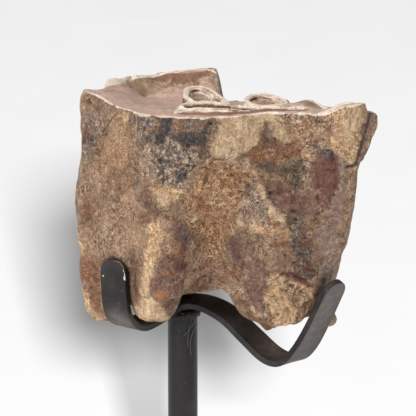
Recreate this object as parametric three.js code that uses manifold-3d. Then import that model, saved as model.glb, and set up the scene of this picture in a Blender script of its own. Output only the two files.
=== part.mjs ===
// A worn upper cheek tooth of a woolly rhinoceros, resting in a bent steel cradle on a post and a plate.
// Millimetres, +Z up. The origin is the centre of the base plate's underside, on the axis of the post.
// +X runs along the tooth, and its cheek wall faces -Y.

import * as THREE from 'three';
import { mergeVertices } from 'three/addons/utils/BufferGeometryUtils.js';
import { ImprovedNoise } from 'three/addons/math/ImprovedNoise.js';
import Module from 'manifold-3d';

const wasm = await Module();
wasm.setup();

// ---- Driving dimensions of the stand ----
const GAP = 0.3;
const BASE = { side: 76, thickness: 6, cornerRadius: 3, bevel: 0.8 };
const POST = { diameter: 6.35, sides: 32 };
const FOOT_WELD = { radius: 4.2, shoulder: 0.6, inset: 0.4, height: 1.6 };
const HEAD_WELD = { start: 2.6, fullest: 1.9, neck: 1.0, proud: 0.3, neckProud: 0.2, topInset: 0.3 };
const STRAP = { width: 6.5, thickness: 1.45, stations: 62, endStations: 5, firstEndAngle: 0.26 };

// The level that the heights of the cradle and the tooth are counted from.
const SEAT_HEIGHT = 85;

// The strap's centreline from the left hook's tip to the right hook's tip. At each knot, turn is the turn
// of its width away from straight back, in degrees, and lean is how far its back edge rises for each
// millimetre of width. Heights are counted from SEAT_HEIGHT.
const STRAP_KNOTS = [
  { at: [-14.15, -9.8, 10.9], turn: -56 },
  { at: [-14.05, -9.2, 4.0], turn: -56 },
  { at: [-13.3, -8.4, -2.2], turn: -58 },
  { at: [-10.4, -6.4, -4.9], turn: -56 },
  { at: [-6.0, -3.6, -4.0], turn: -34 },
  { at: [-0.8, 0, -2.25], turn: -4 },
  { at: [4.2, -0.4, -1.9], turn: 8, lean: 0.06 },
  { at: [9.4, -3.8, -3.3], turn: 20, lean: 0.14 },
  { at: [14.2, -7.4, -6.8], turn: 32, lean: 0.12 },
  { at: [18.8, -10.6, -10.2], turn: 44, lean: 0.04 },
  { at: [22.6, -12.8, -10.4], turn: 52 },
  { at: [25.4, -14.6, -7.2], turn: 52 },
  { at: [28.4, -16.6, -0.6], turn: 47 },
  { at: [32.1, -19.0, 9.2], turn: 46 },
];
const SADDLE_MIDDLE = -2.3;

// ---- Driving dimensions of the tooth, heights from SEAT_HEIGHT ----
const CROWN = {
  rimHeight: 49, girthHeight: 22, footHeight: -12, around: 88, rows: 20,
  middle: [8, 1], sideStart: 0.05, sideEnd: 0.55, rimBlend: 0.9, footBlend: 1.2, footReach: 1.25,
};
const WALL_LUMPS = [{ wavelength: 8, out: 0.7 }, { wavelength: 3.4, out: 0.45 }];

// Outlines of the tooth at three heights, anticlockwise from the front cheek corner.
const RIM_OUTLINE = [
  [-20.6, -2.0], [-16.2, -5.2], [-11.3, -14.3], [-6.2, -18.8], [3.6, -20.3], [14.2, -19.1],
  [25.2, -20.3], [36.9, -18.6], [37.6, -12.0], [34.4, 3.0], [27.0, 14.0], [15.0, 19.6],
  [3.2, 20.8], [-9.3, 15.4], [-15.0, 7.6], [-16.4, 1.2],
];
const GIRTH_OUTLINE = [
  [-22.3, -1.6], [-18.4, -7.4], [-11.4, -14.8], [-4.2, -18.6], [4.2, -19.6], [13.2, -20.4],
  [24.2, -21.4], [34.5, -18.6], [35.2, -9.0], [34.8, 6.0], [29.0, 18.5], [15.2, 23.6],
  [2.2, 24.8], [-12.0, 18.2], [-18.6, 9.4], [-21.0, 3.0],
];
const FOOT_OUTLINE = [
  [-21.8, -1.8], [-17.2, -5.4], [-11.0, -8.6], [-5.0, -14.8], [4.0, -14.0], [13.6, -17.0],
  [20.6, -19.6], [26.2, -15.2], [30.4, -5.0], [32.4, 5.0], [27.2, 16.4], [15.2, 20.4],
  [1.6, 21.4], [-10.4, 15.6], [-17.0, 7.4], [-19.6, 2.2],
];

// Ridges and hollows of the cheek wall: a stroke from foot to head (x, height), its reach to each side
// and how far it stands out (or in, where it is negative).
const CHEEK_STROKES = [
  { foot: [-4.6, -4], head: [-3.0, 17], reach: 4.0, out: 2.2 },
  { foot: [-13.6, -6], head: [-13.8, 9], reach: 3.0, out: -1.2 },
  { foot: [5.2, 2], head: [6.4, 19], reach: 3.6, out: -2.4 },
  { foot: [-10.6, 10], head: [-11.4, 44], reach: 1.7, out: -1.1 },
  { foot: [21.6, 18], head: [15.6, 29], reach: 2.0, out: 0.9 },
  { foot: [18.6, 0], head: [21.0, 13], reach: 5.2, out: 1.3 },
  { foot: [28.6, 12], head: [28.6, 26], reach: 3.0, out: -1.4 },
  { foot: [11.0, 6], head: [12.6, 24], reach: 3.0, out: 0.8 },
  { foot: [-17.6, 6], head: [-16.6, 30], reach: 2.4, out: 0.7 },
  { foot: [26.0, 30], head: [23.0, 41], reach: 4.0, out: -0.7 },
  { foot: [4.0, 30], head: [2.0, 42], reach: 4.0, out: 0.6 },
];

// The same for the tongue side: the valley between its two lobes, the lobes and the collar at their foot.
const TONGUE_STROKES = [
  { foot: [8.0, -8], head: [9.6, 36], reach: 4.0, out: -4.2 },
  { foot: [-4.5, 2], head: [-4.0, 34], reach: 5.5, out: 1.0 },
  { foot: [-13.0, 13], head: [2.0, 10], reach: 1.8, out: 1.3 },
  { foot: [14.0, 10], head: [28.0, 14], reach: 1.8, out: 1.3 },
];

// Height of the cheek wall's rim: it starts at level and each step adds its rise between two x.
const CHEEK_RIM = {
  level: 45.5,
  steps: [
    { from: -21, to: -16, rise: -0.9 },
    { from: 9, to: 19, rise: 0.9 },
    { from: 24, to: 28, rise: -0.3 },
    { from: 28.5, to: 34, rise: 1.9 },
  ],
};

// The worn bowl behind the cheek rim, the walls left standing at its back, and its one hollow and hump.
const BOWL = { depth: 4.0, fromY: -17.5, toY: 11, fromX: -16.5, toX: -7 };
const BACK_WALL = { rise: 3.1, fromY: 14.6, toY: 18.2, fromX: -9, toX: -4, endX: 8, goneX: 12 };
const BACK_CORNER = { rise: 2.6, fromY: 11.5, toY: 15.5 };
const HOLLOW = { at: [-7.5, 11.5], half: [3.2, 2.6], rise: -1.0 };
const HUMP = { at: [26.4, -13.6], half: [3.4, 2.2], rise: 1.3 };

// Edge of the grinding surface where the back right of the crown has broken away, from the back inwards.
const BREAK_EDGE = [
  [6.6, 26], [7.2, 19.0], [8.4, 14.5], [7.9, 8.0], [8.8, 5.4], [13.6, -0.2], [17.4, -3.8],
  [21.2, -7.8], [22.6, -11.4], [25.6, -11.2], [29.9, -15.2], [31.8, -17.2], [41, -17.2],
];
const BREAK = {
  firstStep: 1.6, wallStep: 3.4, wallFromY: 3, wallToY: 8, stepWidth: 1.2, slope: 0.58, lowest: 29.5,
};
const ROUGH = {
  worn: { wavelength: 4, out: 0.25 },
  broken: { wavelength: 5, out: 1.5 },
  brokenFloor: { wavelength: 6, out: 1.2 },
  rootTip: { wavelength: 3.2, out: 1.6 },
};

// Roots: where each stands, its half sizes, the height of its tip and how far the tip tapers up.
const ROOTS = [
  { at: [-16.6, -3.8], half: [5.8, 5.6], tip: -5.2, taper: 6.0 },
  { at: [-7.2, -11.0], half: [7.8, 5.8], tip: -1.2, taper: 1.2 },
  { at: [-3.8, -11.6], half: [3.0, 4.0], tip: -2.0, taper: 0.6 },
  { at: [20.2, -14.8], half: [10.2, 6.0], tip: -1.2, taper: 2.4 },
  { at: [17.6, -16.6], half: [2.2, 3.0], tip: -2.7, taper: 0.6 },
  { at: [29.2, 0.5], half: [3.4, 3.4], tip: -6.6, taper: 1.2 },
  { at: [-5.0, 13.6], half: [10.6, 8.2], tip: -6.4, taper: 4.0 },
  { at: [21.6, 9.4], half: [12.2, 9.8], tip: -8.2, taper: 4.0 },
];
const ROOT_ROOF = { height: 4.5, roughness: 1.2, wavelength: 5, edgeStart: 0.72, edgeEnd: 1.16 };
const ROOT_SEAT = { at: [0, 3.5], drop: 5.9, reach: [5.75, 4.6] };
const ROOT_ARCH = { atX: 8.6, half: 2.2, rise: 2.0, fromY: -9, toY: -3 };

// Blocks that trim the crown: their plan, the size of their facets, and the levels of their faces.
const BLOCK = { size: [68, 54], middle: [8, 2] };
const TOP_BLOCK = { facet: 1.45, face: 46, far: 60 };
const UNDER_BLOCK = { facet: 1.9, face: -4, far: -22 };

// Rings of enamel that stand a little proud of the grinding surface.
const RINGS = [
  {
    outline: [
      [0.1, -2.0], [0.5, 2.6], [2.7, 4.4], [4.8, 3.7], [6.3, 1.3], [7.9, -2.4], [9.2, -6.0],
      [10.2, -9.0], [7.6, -9.0], [4.8, -8.0], [2.1, -7.0], [0.4, -4.6],
    ],
    spine: [[2.9, 1.0], [4.4, -3.0], [7.4, -7.2]],
    wall: 1.6, top: 44.4, floor: 43.5, pit: [4.6, -5.4], pitRadius: 1.6,
  },
  {
    outline: [
      [12.7, -8.6], [13.7, -5.6], [15.8, -4.2], [17.2, -4.2], [19.2, -5.6], [20.9, -8.3],
      [21.9, -11.4], [20.1, -14.2], [16.6, -14.4], [13.9, -12.4],
    ],
    spine: [[16.2, -7.6], [18.6, -11.2]],
    wall: 1.5, top: 45.1, floor: 44.2, pit: [18.4, -12.2], pitRadius: 1.4,
  },
  {
    outline: [
      [-0.8, -12.2], [1.9, -10.3], [7.9, -10.6], [13.0, -13.0], [18.5, -15.0], [24.9, -17.0],
      [24.7, -18.2], [17.0, -17.3], [9.9, -16.2], [1.2, -15.0],
    ],
    spine: [[2.2, -12.7], [8.6, -13.3], [20.0, -16.4]],
    wall: 1.0, top: 45.0, floor: 41.4, pit: [8.0, -12.9], pitRadius: 1.2,
  },
];
const RING = { depth: 5, steps: 34, deepest: 0.62, pitStretch: [1.5, 0.8, 2.2] };

// The crack that almost frees a sliver at the far end of the cheek wall: x and height down its length.
const CRACK = {
  line: [[38.7, 50], [38.3, 45.5], [37.1, 41.4], [36.2, 37.6], [35.7, 34.4]],
  width: 0.8, narrowing: 0.5, back: -7.5, depth: 16,
};
const SLIVER = {
  outline: [[36.8, 33.2], [37.8, 36.6], [39.1, 40.1], [40.1, 42.9], [39.8, 44.7], [39.1, 45.6]],
  foot: [34.6, 32], front: -18.6, depth: 6, lean: 0.02, droop: 0.35, waviness: 0.4, wavelength: 3,
};

// A scoop broken out of the cheek wall at the foot of its right root.
const SCOOP = { at: [23.4, -22.6, 5.0], half: [7.4, 3.6, 8.4], raggedness: 0.22, wavelength: 0.5 };

// ---- Colours ----
const STEEL_BLACK = '#2b2a2b';
const FOSSIL_BROWN = '#9c8164';

const noise = new ImprovedNoise();

function roughness(x, y, z, wavelength) {
  return noise.noise(x / wavelength + 7.3, y / wavelength + 3.1, z / wavelength + 5.7);
}

function smoothstep(value, start, end) {
  return THREE.MathUtils.smoothstep(value, start, end);
}

// ---- Solids: three.js geometry to manifold-3d and back ----
function toSolid(geometry) {
  const bare = geometry.clone();
  bare.deleteAttribute('normal');
  bare.deleteAttribute('uv');
  const merged = mergeVertices(bare, 1e-4);
  return new wasm.Manifold(new wasm.Mesh({
    numProp: 3,
    vertProperties: new Float32Array(merged.attributes.position.array),
    triVerts: new Uint32Array(merged.index.array),
  }));
}

function toGeometry(solid) {
  const { vertProperties, triVerts } = solid.getMesh();
  const geometry = new THREE.BufferGeometry();
  geometry.setAttribute('position', new THREE.BufferAttribute(vertProperties, 3));
  geometry.setIndex(new THREE.BufferAttribute(triVerts, 1));
  geometry.computeVertexNormals();
  return geometry;
}

// Moves every vertex of a geometry: change(point) edits the point in place.
function reshape(geometry, change) {
  const position = geometry.attributes.position;
  const point = new THREE.Vector3();
  for (let i = 0; i < position.count; i += 1) {
    point.fromBufferAttribute(position, i);
    change(point);
    position.setXYZ(i, point.x, point.y, point.z);
  }
  return geometry;
}

// The nearest spot of a path of x, y corners to x, y: how far it is, and on which side of the path x, y lies.
function nearestOnPath(path, x, y) {
  const best = { distance: Infinity };
  for (let i = 1; i < path.length; i += 1) {
    const start = new THREE.Vector2(...path[i - 1]);
    const along = new THREE.Vector2(...path[i]).sub(start);
    const here = new THREE.Vector2(x, y).sub(start);
    const share = THREE.MathUtils.clamp(here.dot(along) / along.lengthSq(), 0, 1);
    const foot = along.clone().multiplyScalar(share);
    const distance = here.distanceTo(foot);
    if (distance < best.distance) {
      best.distance = distance;
      best.side = Math.sign(along.x * here.y - along.y * here.x);
      best.spot = foot.add(start);
    }
  }
  return best;
}

function closedOutline(points) {
  const knots = points.map(([x, y]) => new THREE.Vector3(x, y, 0));
  return new THREE.CatmullRomCurve3(knots, true, 'catmullrom', 0.5);
}

// ---- Crown: a loft through the three outlines, with the relief of its walls ----
const rimCurve = closedOutline(RIM_OUTLINE);
const girthCurve = closedOutline(GIRTH_OUTLINE);
const footCurve = closedOutline(FOOT_OUTLINE);

function outlineAt(share, height) {
  const girth = girthCurve.getPoint(share);
  if (height > CROWN.girthHeight) {
    const rise = (height - CROWN.girthHeight) / (CROWN.rimHeight - CROWN.girthHeight);
    return girth.lerp(rimCurve.getPoint(share), rise ** CROWN.rimBlend);
  }
  const fall = (CROWN.girthHeight - height) / CROWN.girthHeight;
  return girth.lerp(footCurve.getPoint(share), Math.min(fall, CROWN.footReach) ** CROWN.footBlend);
}

// How far a side's wall stands out at x and height.
function wallRelief(strokes, x, height) {
  let relief = 0;
  for (const stroke of strokes) {
    const away = nearestOnPath([stroke.foot, stroke.head], x, height).distance / stroke.reach;
    relief += stroke.out * Math.exp(-away * away);
  }
  return relief;
}

function crownWalls() {
  const middle = new THREE.Vector3(...CROWN.middle, 0);
  const height = CROWN.rimHeight - CROWN.footHeight;
  const drum = new THREE.CylinderGeometry(1, 1, height, CROWN.around, CROWN.rows);
  drum.rotateX(Math.PI / 2);
  drum.translate(0, 0, CROWN.footHeight + height / 2);
  return reshape(drum, (point) => {
    const radius = Math.hypot(point.x, point.y);
    const turn = Math.atan2(point.y, point.x) / (2 * Math.PI);
    const spot = outlineAt((turn + 1.5) % 1, point.z);
    const outward = spot.clone().setZ(0).sub(middle).normalize();
    const onCheek = smoothstep(-outward.y, CROWN.sideStart, CROWN.sideEnd);
    const onTongue = smoothstep(outward.y, CROWN.sideStart, CROWN.sideEnd);
    let out = onCheek * wallRelief(CHEEK_STROKES, spot.x, point.z);
    out += onTongue * wallRelief(TONGUE_STROKES, spot.x, point.z);
    for (const lump of WALL_LUMPS) {
      out += lump.out * roughness(spot.x, spot.y, point.z, lump.wavelength);
    }
    spot.addScaledVector(outward, out * radius);
    const centred = radius < 0.5 ? middle : spot;
    point.set(centred.x, centred.y, point.z);
  });
}

// ---- Grinding surface: the height of the crown's top at x, y ----
function cheekRimHeight(x) {
  let height = CHEEK_RIM.level;
  for (const { from, to, rise } of CHEEK_RIM.steps) {
    height += rise * smoothstep(x, from, to);
  }
  return height;
}

function mound({ at, half, rise }, x, y) {
  return rise * Math.exp(-(((x - at[0]) / half[0]) ** 2) - ((y - at[1]) / half[1]) ** 2);
}

// Distance from the break edge, positive on the broken side.
function beyondBreak(x, y) {
  const { distance, side } = nearestOnPath(BREAK_EDGE, x, y);
  return distance * side;
}

function grindingHeight(x, y) {
  const bowl = BOWL.depth * smoothstep(y, BOWL.fromY, BOWL.toY) * smoothstep(x, BOWL.fromX, BOWL.toX);
  const alongWall = smoothstep(x, BACK_WALL.fromX, BACK_WALL.toX);
  const wallLength = alongWall * (1 - smoothstep(x, BACK_WALL.endX, BACK_WALL.goneX));
  const wall = BACK_WALL.rise * smoothstep(y, BACK_WALL.fromY, BACK_WALL.toY) * wallLength;
  const corner = BACK_CORNER.rise * smoothstep(y, BACK_CORNER.fromY, BACK_CORNER.toY) * (1 - alongWall);
  const standing = Math.min(wall + corner, BACK_WALL.rise);
  const whole = cheekRimHeight(x) - bowl + standing + mound(HOLLOW, x, y) + mound(HUMP, x, y);
  const beyond = beyondBreak(x, y);
  if (beyond <= 0) {
    return whole + ROUGH.worn.out * roughness(x, y, 0, ROUGH.worn.wavelength);
  }
  const stepHeight = BREAK.firstStep + BREAK.wallStep * smoothstep(y, BREAK.wallFromY, BREAK.wallToY);
  const step = stepHeight * smoothstep(beyond, 0, BREAK.stepWidth);
  const rough = ROUGH.broken.out * roughness(x, y, 9, ROUGH.broken.wavelength);
  const lowest = BREAK.lowest + ROUGH.brokenFloor.out * roughness(x, y, 4, ROUGH.brokenFloor.wavelength);
  return Math.max(whole - step - BREAK.slope * beyond + rough, lowest);
}

// ---- Underside: root tips, the hollow between the roots, and the seat over the saddle ----
function undersideHeight(x, y) {
  let lowest = ROOT_ROOF.height + ROOT_ROOF.roughness * roughness(x, y, 2, ROOT_ROOF.wavelength);
  const seatX = (x - ROOT_SEAT.at[0]) / ROOT_SEAT.reach[0];
  const seatY = (y - ROOT_SEAT.at[1]) / ROOT_SEAT.reach[1];
  lowest -= ROOT_SEAT.drop * Math.exp(-(Math.hypot(seatX, seatY) ** 4));
  const inArch = Math.exp(-(((x - ROOT_ARCH.atX) / ROOT_ARCH.half) ** 2));
  lowest += ROOT_ARCH.rise * inArch * (1 - smoothstep(y, ROOT_ARCH.fromY, ROOT_ARCH.toY));
  for (const root of ROOTS) {
    const away = Math.hypot((x - root.at[0]) / root.half[0], (y - root.at[1]) / root.half[1]);
    const inside = 1 - smoothstep(away, ROOT_ROOF.edgeStart, ROOT_ROOF.edgeEnd);
    const rough = ROUGH.rootTip.out * roughness(x, y, root.tip, ROUGH.rootTip.wavelength);
    const tip = root.tip + 0.6 * root.taper * away * away + rough;
    lowest = Math.min(lowest, THREE.MathUtils.lerp(ROOT_ROOF.height + 2, tip, inside));
  }
  return lowest;
}

// A block whose one face follows a height formula; the other face lies past the crown.
function surfaceBlock(heightAt, { facet, face, far }) {
  const [length, width] = BLOCK.size;
  const columns = Math.round(length / facet);
  const rows = Math.round(width / facet);
  const block = new THREE.BoxGeometry(length, width, Math.abs(far - face), columns, rows, 1);
  block.translate(...BLOCK.middle, (far + face) / 2);
  return toSolid(reshape(block, (point) => {
    if (Math.abs(point.z - face) < 0.5) {
      point.z = heightAt(point.x, point.y);
    }
  }));
}

// ---- Details joined to the crown or cut from it ----
function shapeFrom(points) {
  const shape = new THREE.Shape();
  shape.setFromPoints(points.map((point) => new THREE.Vector2(point.x, point.y)));
  return shape;
}

// The ring's inner edge: its outline drawn in towards its spine by the thickness of the enamel.
function ringInside(outline, ring) {
  return outline.map((point) => {
    const { spot, distance } = nearestOnPath(ring.spine, point.x, point.y);
    const share = Math.min(ring.wall / distance, RING.deepest);
    return new THREE.Vector2(point.x, point.y).lerp(spot, share);
  });
}

function prism(shape, bottom, top) {
  const geometry = new THREE.ExtrudeGeometry(shape, { depth: top - bottom, bevelEnabled: false });
  geometry.translate(0, 0, bottom);
  return toSolid(geometry);
}

function addRing(tooth, ring) {
  const outline = closedOutline(ring.outline).getPoints(RING.steps).slice(0, -1);
  const outer = shapeFrom(outline);
  const inner = shapeFrom(ringInside(outline, ring));
  const raised = tooth.add(prism(outer, ring.top - RING.depth, ring.top));
  const hollowed = raised.subtract(prism(inner, ring.floor, ring.top + 2));
  const pit = new THREE.SphereGeometry(ring.pitRadius, 10, 8);
  pit.scale(...RING.pitStretch);
  pit.translate(ring.pit[0], ring.pit[1], ring.floor);
  return hollowed.subtract(toSolid(pit));
}

function scoop() {
  const ball = new THREE.IcosahedronGeometry(1, 3);
  reshape(ball, (point) => {
    const rough = SCOOP.raggedness * roughness(point.x, point.y, point.z, SCOOP.wavelength);
    point.multiplyScalar(1 + rough);
  });
  ball.scale(...SCOOP.half);
  ball.translate(...SCOOP.at);
  return toSolid(ball);
}

// The sliver stands at the end of the cheek wall, seen from the cheek side as a narrow leaf.
function sliver() {
  const inner = CRACK.line.slice(1).map(([x, z]) => new THREE.Vector2(x + 0.05, z));
  const outer = SLIVER.outline.map(([x, z]) => new THREE.Vector2(x, z));
  const shape = new THREE.Shape([new THREE.Vector2(...SLIVER.foot), ...outer, ...inner]);
  const geometry = new THREE.ExtrudeGeometry(shape, { depth: SLIVER.depth, bevelEnabled: false, steps: 3 });
  geometry.rotateX(Math.PI / 2);
  geometry.translate(0, SLIVER.front + SLIVER.depth, 0);
  return toSolid(reshape(geometry, (point) => {
    const fromFront = point.y - SLIVER.front;
    const wave = SLIVER.waviness * roughness(point.x, point.y, point.z, SLIVER.wavelength);
    point.x += wave - SLIVER.lean * fromFront ** 2;
    point.z -= fromFront * SLIVER.droop * smoothstep(point.z, 38, 45);
  }));
}

function crack() {
  const left = CRACK.line.map(([x, z], i) => {
    const width = CRACK.width / (1 + CRACK.narrowing * i);
    return new THREE.Vector2(x - width, z);
  });
  const right = CRACK.line.map(([x, z]) => new THREE.Vector2(x, z)).reverse();
  const shape = new THREE.Shape([...left, ...right]);
  const geometry = new THREE.ExtrudeGeometry(shape, { depth: CRACK.depth, bevelEnabled: false });
  geometry.rotateX(Math.PI / 2);
  geometry.translate(0, CRACK.back, 0);
  return toSolid(geometry);
}

// ---- Strap: a box whose stations follow the bent centreline, with half-round ends ----
function strapKnotCurve(offset) {
  const knots = STRAP_KNOTS.map(({ at, turn, lean = 0 }) => {
    const angle = THREE.MathUtils.degToRad(turn);
    const back = new THREE.Vector3(Math.sin(angle), Math.cos(angle), lean);
    return new THREE.Vector3(...at).addScaledVector(back, offset);
  });
  return new THREE.CatmullRomCurve3(knots, false, 'catmullrom', 0.5);
}

function strapGeometry(extra = 0) {
  const centreline = strapKnotCurve(0);
  const backline = strapKnotCurve(1);
  const length = centreline.getLength();
  const radius = STRAP.width / 2;
  const middleStations = STRAP.stations - 2 * STRAP.endStations;
  const spots = [];
  for (let i = 0; i <= STRAP.stations; i += 1) {
    const fromEnd = Math.min(i, STRAP.stations - i);
    const bend = Math.min(fromEnd / STRAP.endStations, 1);
    const angle = THREE.MathUtils.lerp(STRAP.firstEndAngle, Math.PI / 2, bend);
    const endDistance = radius * (1 - Math.cos(angle));
    const middle = radius + (length - 2 * radius) * ((i - STRAP.endStations) / middleStations);
    const nearEnd = i < STRAP.endStations ? endDistance : length - endDistance;
    spots.push({ distance: bend < 1 ? nearEnd : middle, halfWidth: radius * Math.sin(angle) });
  }
  const box = new THREE.BoxGeometry(STRAP.stations, 2, 2, STRAP.stations, 1, 1);
  return reshape(box, (point) => {
    const { distance, halfWidth } = spots[Math.round(point.x + STRAP.stations / 2)];
    const share = centreline.getUtoTmapping(distance / length);
    const centre = centreline.getPoint(share);
    const along = centreline.getTangent(share);
    const back = backline.getPoint(share).sub(centre).projectOnPlane(along).normalize();
    const up = new THREE.Vector3().crossVectors(along, back);
    const sideways = point.y * (halfWidth + extra);
    const thick = point.z * (STRAP.thickness / 2 + extra);
    point.copy(centre).addScaledVector(back, sideways).addScaledVector(up, thick);
  });
}

// ---- Tooth ----
function toothGeometry() {
  let tooth = toSolid(crownWalls());
  tooth = tooth.subtract(surfaceBlock(grindingHeight, TOP_BLOCK));
  tooth = tooth.subtract(surfaceBlock(undersideHeight, UNDER_BLOCK));
  for (const ring of RINGS) {
    tooth = addRing(tooth, ring);
  }
  tooth = tooth.subtract(scoop());
  tooth = tooth.subtract(crack()).add(sliver());
  tooth = tooth.subtract(toSolid(strapGeometry(GAP)));
  return toGeometry(tooth);
}

// ---- Post with the weld beads at its ends, and the base plate ----
function postGeometry() {
  const radius = POST.diameter / 2;
  const bottom = BASE.thickness;
  const top = SEAT_HEIGHT + SADDLE_MIDDLE;
  const profile = [
    [0, bottom],
    [FOOT_WELD.radius, bottom],
    [FOOT_WELD.radius - FOOT_WELD.inset, bottom + FOOT_WELD.shoulder],
    [radius, bottom + FOOT_WELD.height],
    [radius, top - HEAD_WELD.start],
    [radius + HEAD_WELD.proud, top - HEAD_WELD.fullest],
    [radius + HEAD_WELD.neckProud, top - HEAD_WELD.neck],
    [radius - HEAD_WELD.topInset, top],
    [0, top],
  ];
  const lathe = new THREE.LatheGeometry(profile.map(([r, z]) => new THREE.Vector2(r, z)), POST.sides);
  lathe.rotateX(Math.PI / 2);
  const saddle = toSolid(strapGeometry(GAP)).translate(0, 0, SEAT_HEIGHT);
  return toGeometry(toSolid(lathe).subtract(saddle));
}

function baseGeometry() {
  const half = BASE.side / 2 - BASE.bevel;
  const radius = BASE.cornerRadius;
  const shape = new THREE.Shape();
  shape.absarc(half - radius, half - radius, radius, 0, Math.PI / 2);
  shape.absarc(radius - half, half - radius, radius, Math.PI / 2, Math.PI);
  shape.absarc(radius - half, radius - half, radius, Math.PI, 1.5 * Math.PI);
  shape.absarc(half - radius, radius - half, radius, 1.5 * Math.PI, 2 * Math.PI);
  const geometry = new THREE.ExtrudeGeometry(shape, {
    depth: BASE.thickness - 2 * BASE.bevel,
    bevelSize: BASE.bevel,
    bevelThickness: BASE.bevel,
    bevelSegments: 1,
    curveSegments: 4,
  });
  return geometry.translate(0, 0, BASE.bevel);
}

function mesh(name, geometry, color, roughnessValue, metalness, height = 0) {
  const material = new THREE.MeshStandardMaterial({ color, roughness: roughnessValue, metalness });
  const piece = new THREE.Mesh(geometry, material);
  piece.name = name;
  piece.position.z = height;
  return piece;
}

const stand = new THREE.Group();
stand.add(mesh('base_plate', baseGeometry(), STEEL_BLACK, 0.5, 0.3));
stand.add(mesh('post', postGeometry(), STEEL_BLACK, 0.45, 0.3));
stand.add(mesh('cradle_strap', strapGeometry(), STEEL_BLACK, 0.45, 0.3, SEAT_HEIGHT));

const fossil = new THREE.Group();
fossil.add(stand);
fossil.add(mesh('tooth', toothGeometry(), FOSSIL_BROWN, 0.75, 0, SEAT_HEIGHT));

export default fossil;
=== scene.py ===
"""A worn fossil rhinoceros cheek tooth, resting in a bent steel cradle on a post and a plate.

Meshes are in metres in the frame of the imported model. The sizes in the classes are millimetres, and the
heights of the tooth and the cradle are counted from SEAT_HEIGHT.
"""
import itertools
import logging
import math
from collections.abc import Callable, Sequence
from dataclasses import dataclass, field
from enum import Enum, IntEnum
from functools import partial

import bpy
import numpy as np
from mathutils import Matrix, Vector
from mathutils.kdtree import KDTree


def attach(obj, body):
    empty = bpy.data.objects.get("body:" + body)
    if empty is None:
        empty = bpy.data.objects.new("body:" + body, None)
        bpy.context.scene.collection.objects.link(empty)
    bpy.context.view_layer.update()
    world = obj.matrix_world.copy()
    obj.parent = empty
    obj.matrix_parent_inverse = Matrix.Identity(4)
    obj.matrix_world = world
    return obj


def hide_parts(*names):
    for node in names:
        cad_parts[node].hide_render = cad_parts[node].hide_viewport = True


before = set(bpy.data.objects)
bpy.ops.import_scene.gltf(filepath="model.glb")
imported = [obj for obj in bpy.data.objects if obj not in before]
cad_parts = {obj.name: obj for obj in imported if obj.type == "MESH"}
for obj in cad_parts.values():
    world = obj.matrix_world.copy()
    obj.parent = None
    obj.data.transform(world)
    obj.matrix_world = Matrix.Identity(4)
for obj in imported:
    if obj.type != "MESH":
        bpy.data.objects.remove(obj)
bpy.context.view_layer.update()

MM = 0.001
SEAT_HEIGHT = 85.0
BODY = "root"

# How far a surface has to face the cheek wall's way to start and to be fully part of it.
FRONT = (-0.05, 0.2)
LOG = logging.getLogger("fossil_tooth")

Array = np.ndarray
Object = bpy.types.Object
Tree = bpy.types.NodeTree
Pair = tuple[float, float]
Triple = tuple[float, float, float]
# What can feed a socket, and the function that adds a node to one tree.
Feed = bpy.types.Node | bpy.types.NodeSocket | tuple | float
Adder = Callable[..., bpy.types.Node]

# A distance in millimetres that stands for "nowhere near".
FAR_OFF = 9.0

# Sockets of the Mix node where it blends colours.
MIX_FACTOR, MIX_A, MIX_B = 0, 6, 7


class Slot(Enum):
    """The material slots of the record."""

    FOSSIL = "fossil"
    STEEL = "steel"


class Stain(Enum):
    """What the ground has left in the fossil. The value is the name of the mask on the mesh."""

    SAND = "stain_sand"
    BONE = "stain_bone"
    GOLD = "stain_gold"
    RUST = "stain_rust"
    COCOA = "stain_cocoa"
    ASH = "stain_ash"
    MAUVE = "stain_mauve"
    MOSS = "stain_moss"
    PLUM = "stain_plum"
    BLOOD = "stain_blood"
    SLATE = "stain_slate"
    NET = "stain_net"
    MANGANESE = "stain_manganese"
    OCHRE = "stain_ochre"
    EMBER = "stain_ember"
    CREAM = "stain_cream"


class Mask(Enum):
    """The other masks on the tooth: millimetres for ENAMEL and HAIR, and shares from 0 to 1 for the rest."""

    WEAR = "wear_facet"
    ENAMEL = "enamel_edge"
    DIRT_AND_SHADE = "dirt"
    POLISH = "edge_polish"
    SHADE = "shade"
    HAIR = "narrow_crack"
    HAIR_NEAR = "near_narrow_crack"


class Seed(IntEnum):
    """Picks the noise of each use. A use that draws several counts on from its seed."""

    WALL = 11
    FLAKE = 13
    LUMP = 21
    STREAK = 31
    POCK = 41
    WEAR = 51
    RIM = 53
    SPREAD = 61
    VIEW = 71
    FINE_SPREAD = 81


def linear(code: str) -> tuple[float, float, float, float]:
    """Turns an sRGB hex colour into a linear one.

    Args:
        code: the colour as "#rrggbb".

    Returns:
        Red, green, blue and an alpha of 1.
    """
    shares = (int(code[i:i + 2], 16) / 255 for i in (1, 3, 5))
    return (*(s / 12.92 if s <= 0.04045 else ((s + 0.055) / 1.055) ** 2.4 for s in shares), 1.0)


def per_mm(size: float) -> float:
    """The scale of a pattern on Object coordinates whose features are about size millimetres."""
    return 1 / (size * MM)


def add_node(tree: Tree, kind: str, inputs: dict | Sequence = (), **settings) -> bpy.types.Node:
    """Adds a node with its settings and links.

    Args:
        tree: the node tree it goes into.
        kind: the node's type name without "ShaderNode".
        inputs: what goes into it, by socket name or number or else in the node's own order. Each is a
            value, the output socket that feeds it, or the node whose first output in use feeds it.
        **settings: properties of the node.

    Returns:
        The new node.
    """
    node = tree.nodes.new("ShaderNode" + kind)
    for name, value in settings.items():
        setattr(node, name, value)
    for name, value in inputs.items() if isinstance(inputs, dict) else enumerate(inputs):
        if isinstance(value, bpy.types.Node):
            value = next(socket for socket in value.outputs if socket.enabled)
        if isinstance(value, bpy.types.NodeSocket):
            tree.links.new(value, node.inputs[name])
        else:
            node.inputs[name].default_value = value
    return node


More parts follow.
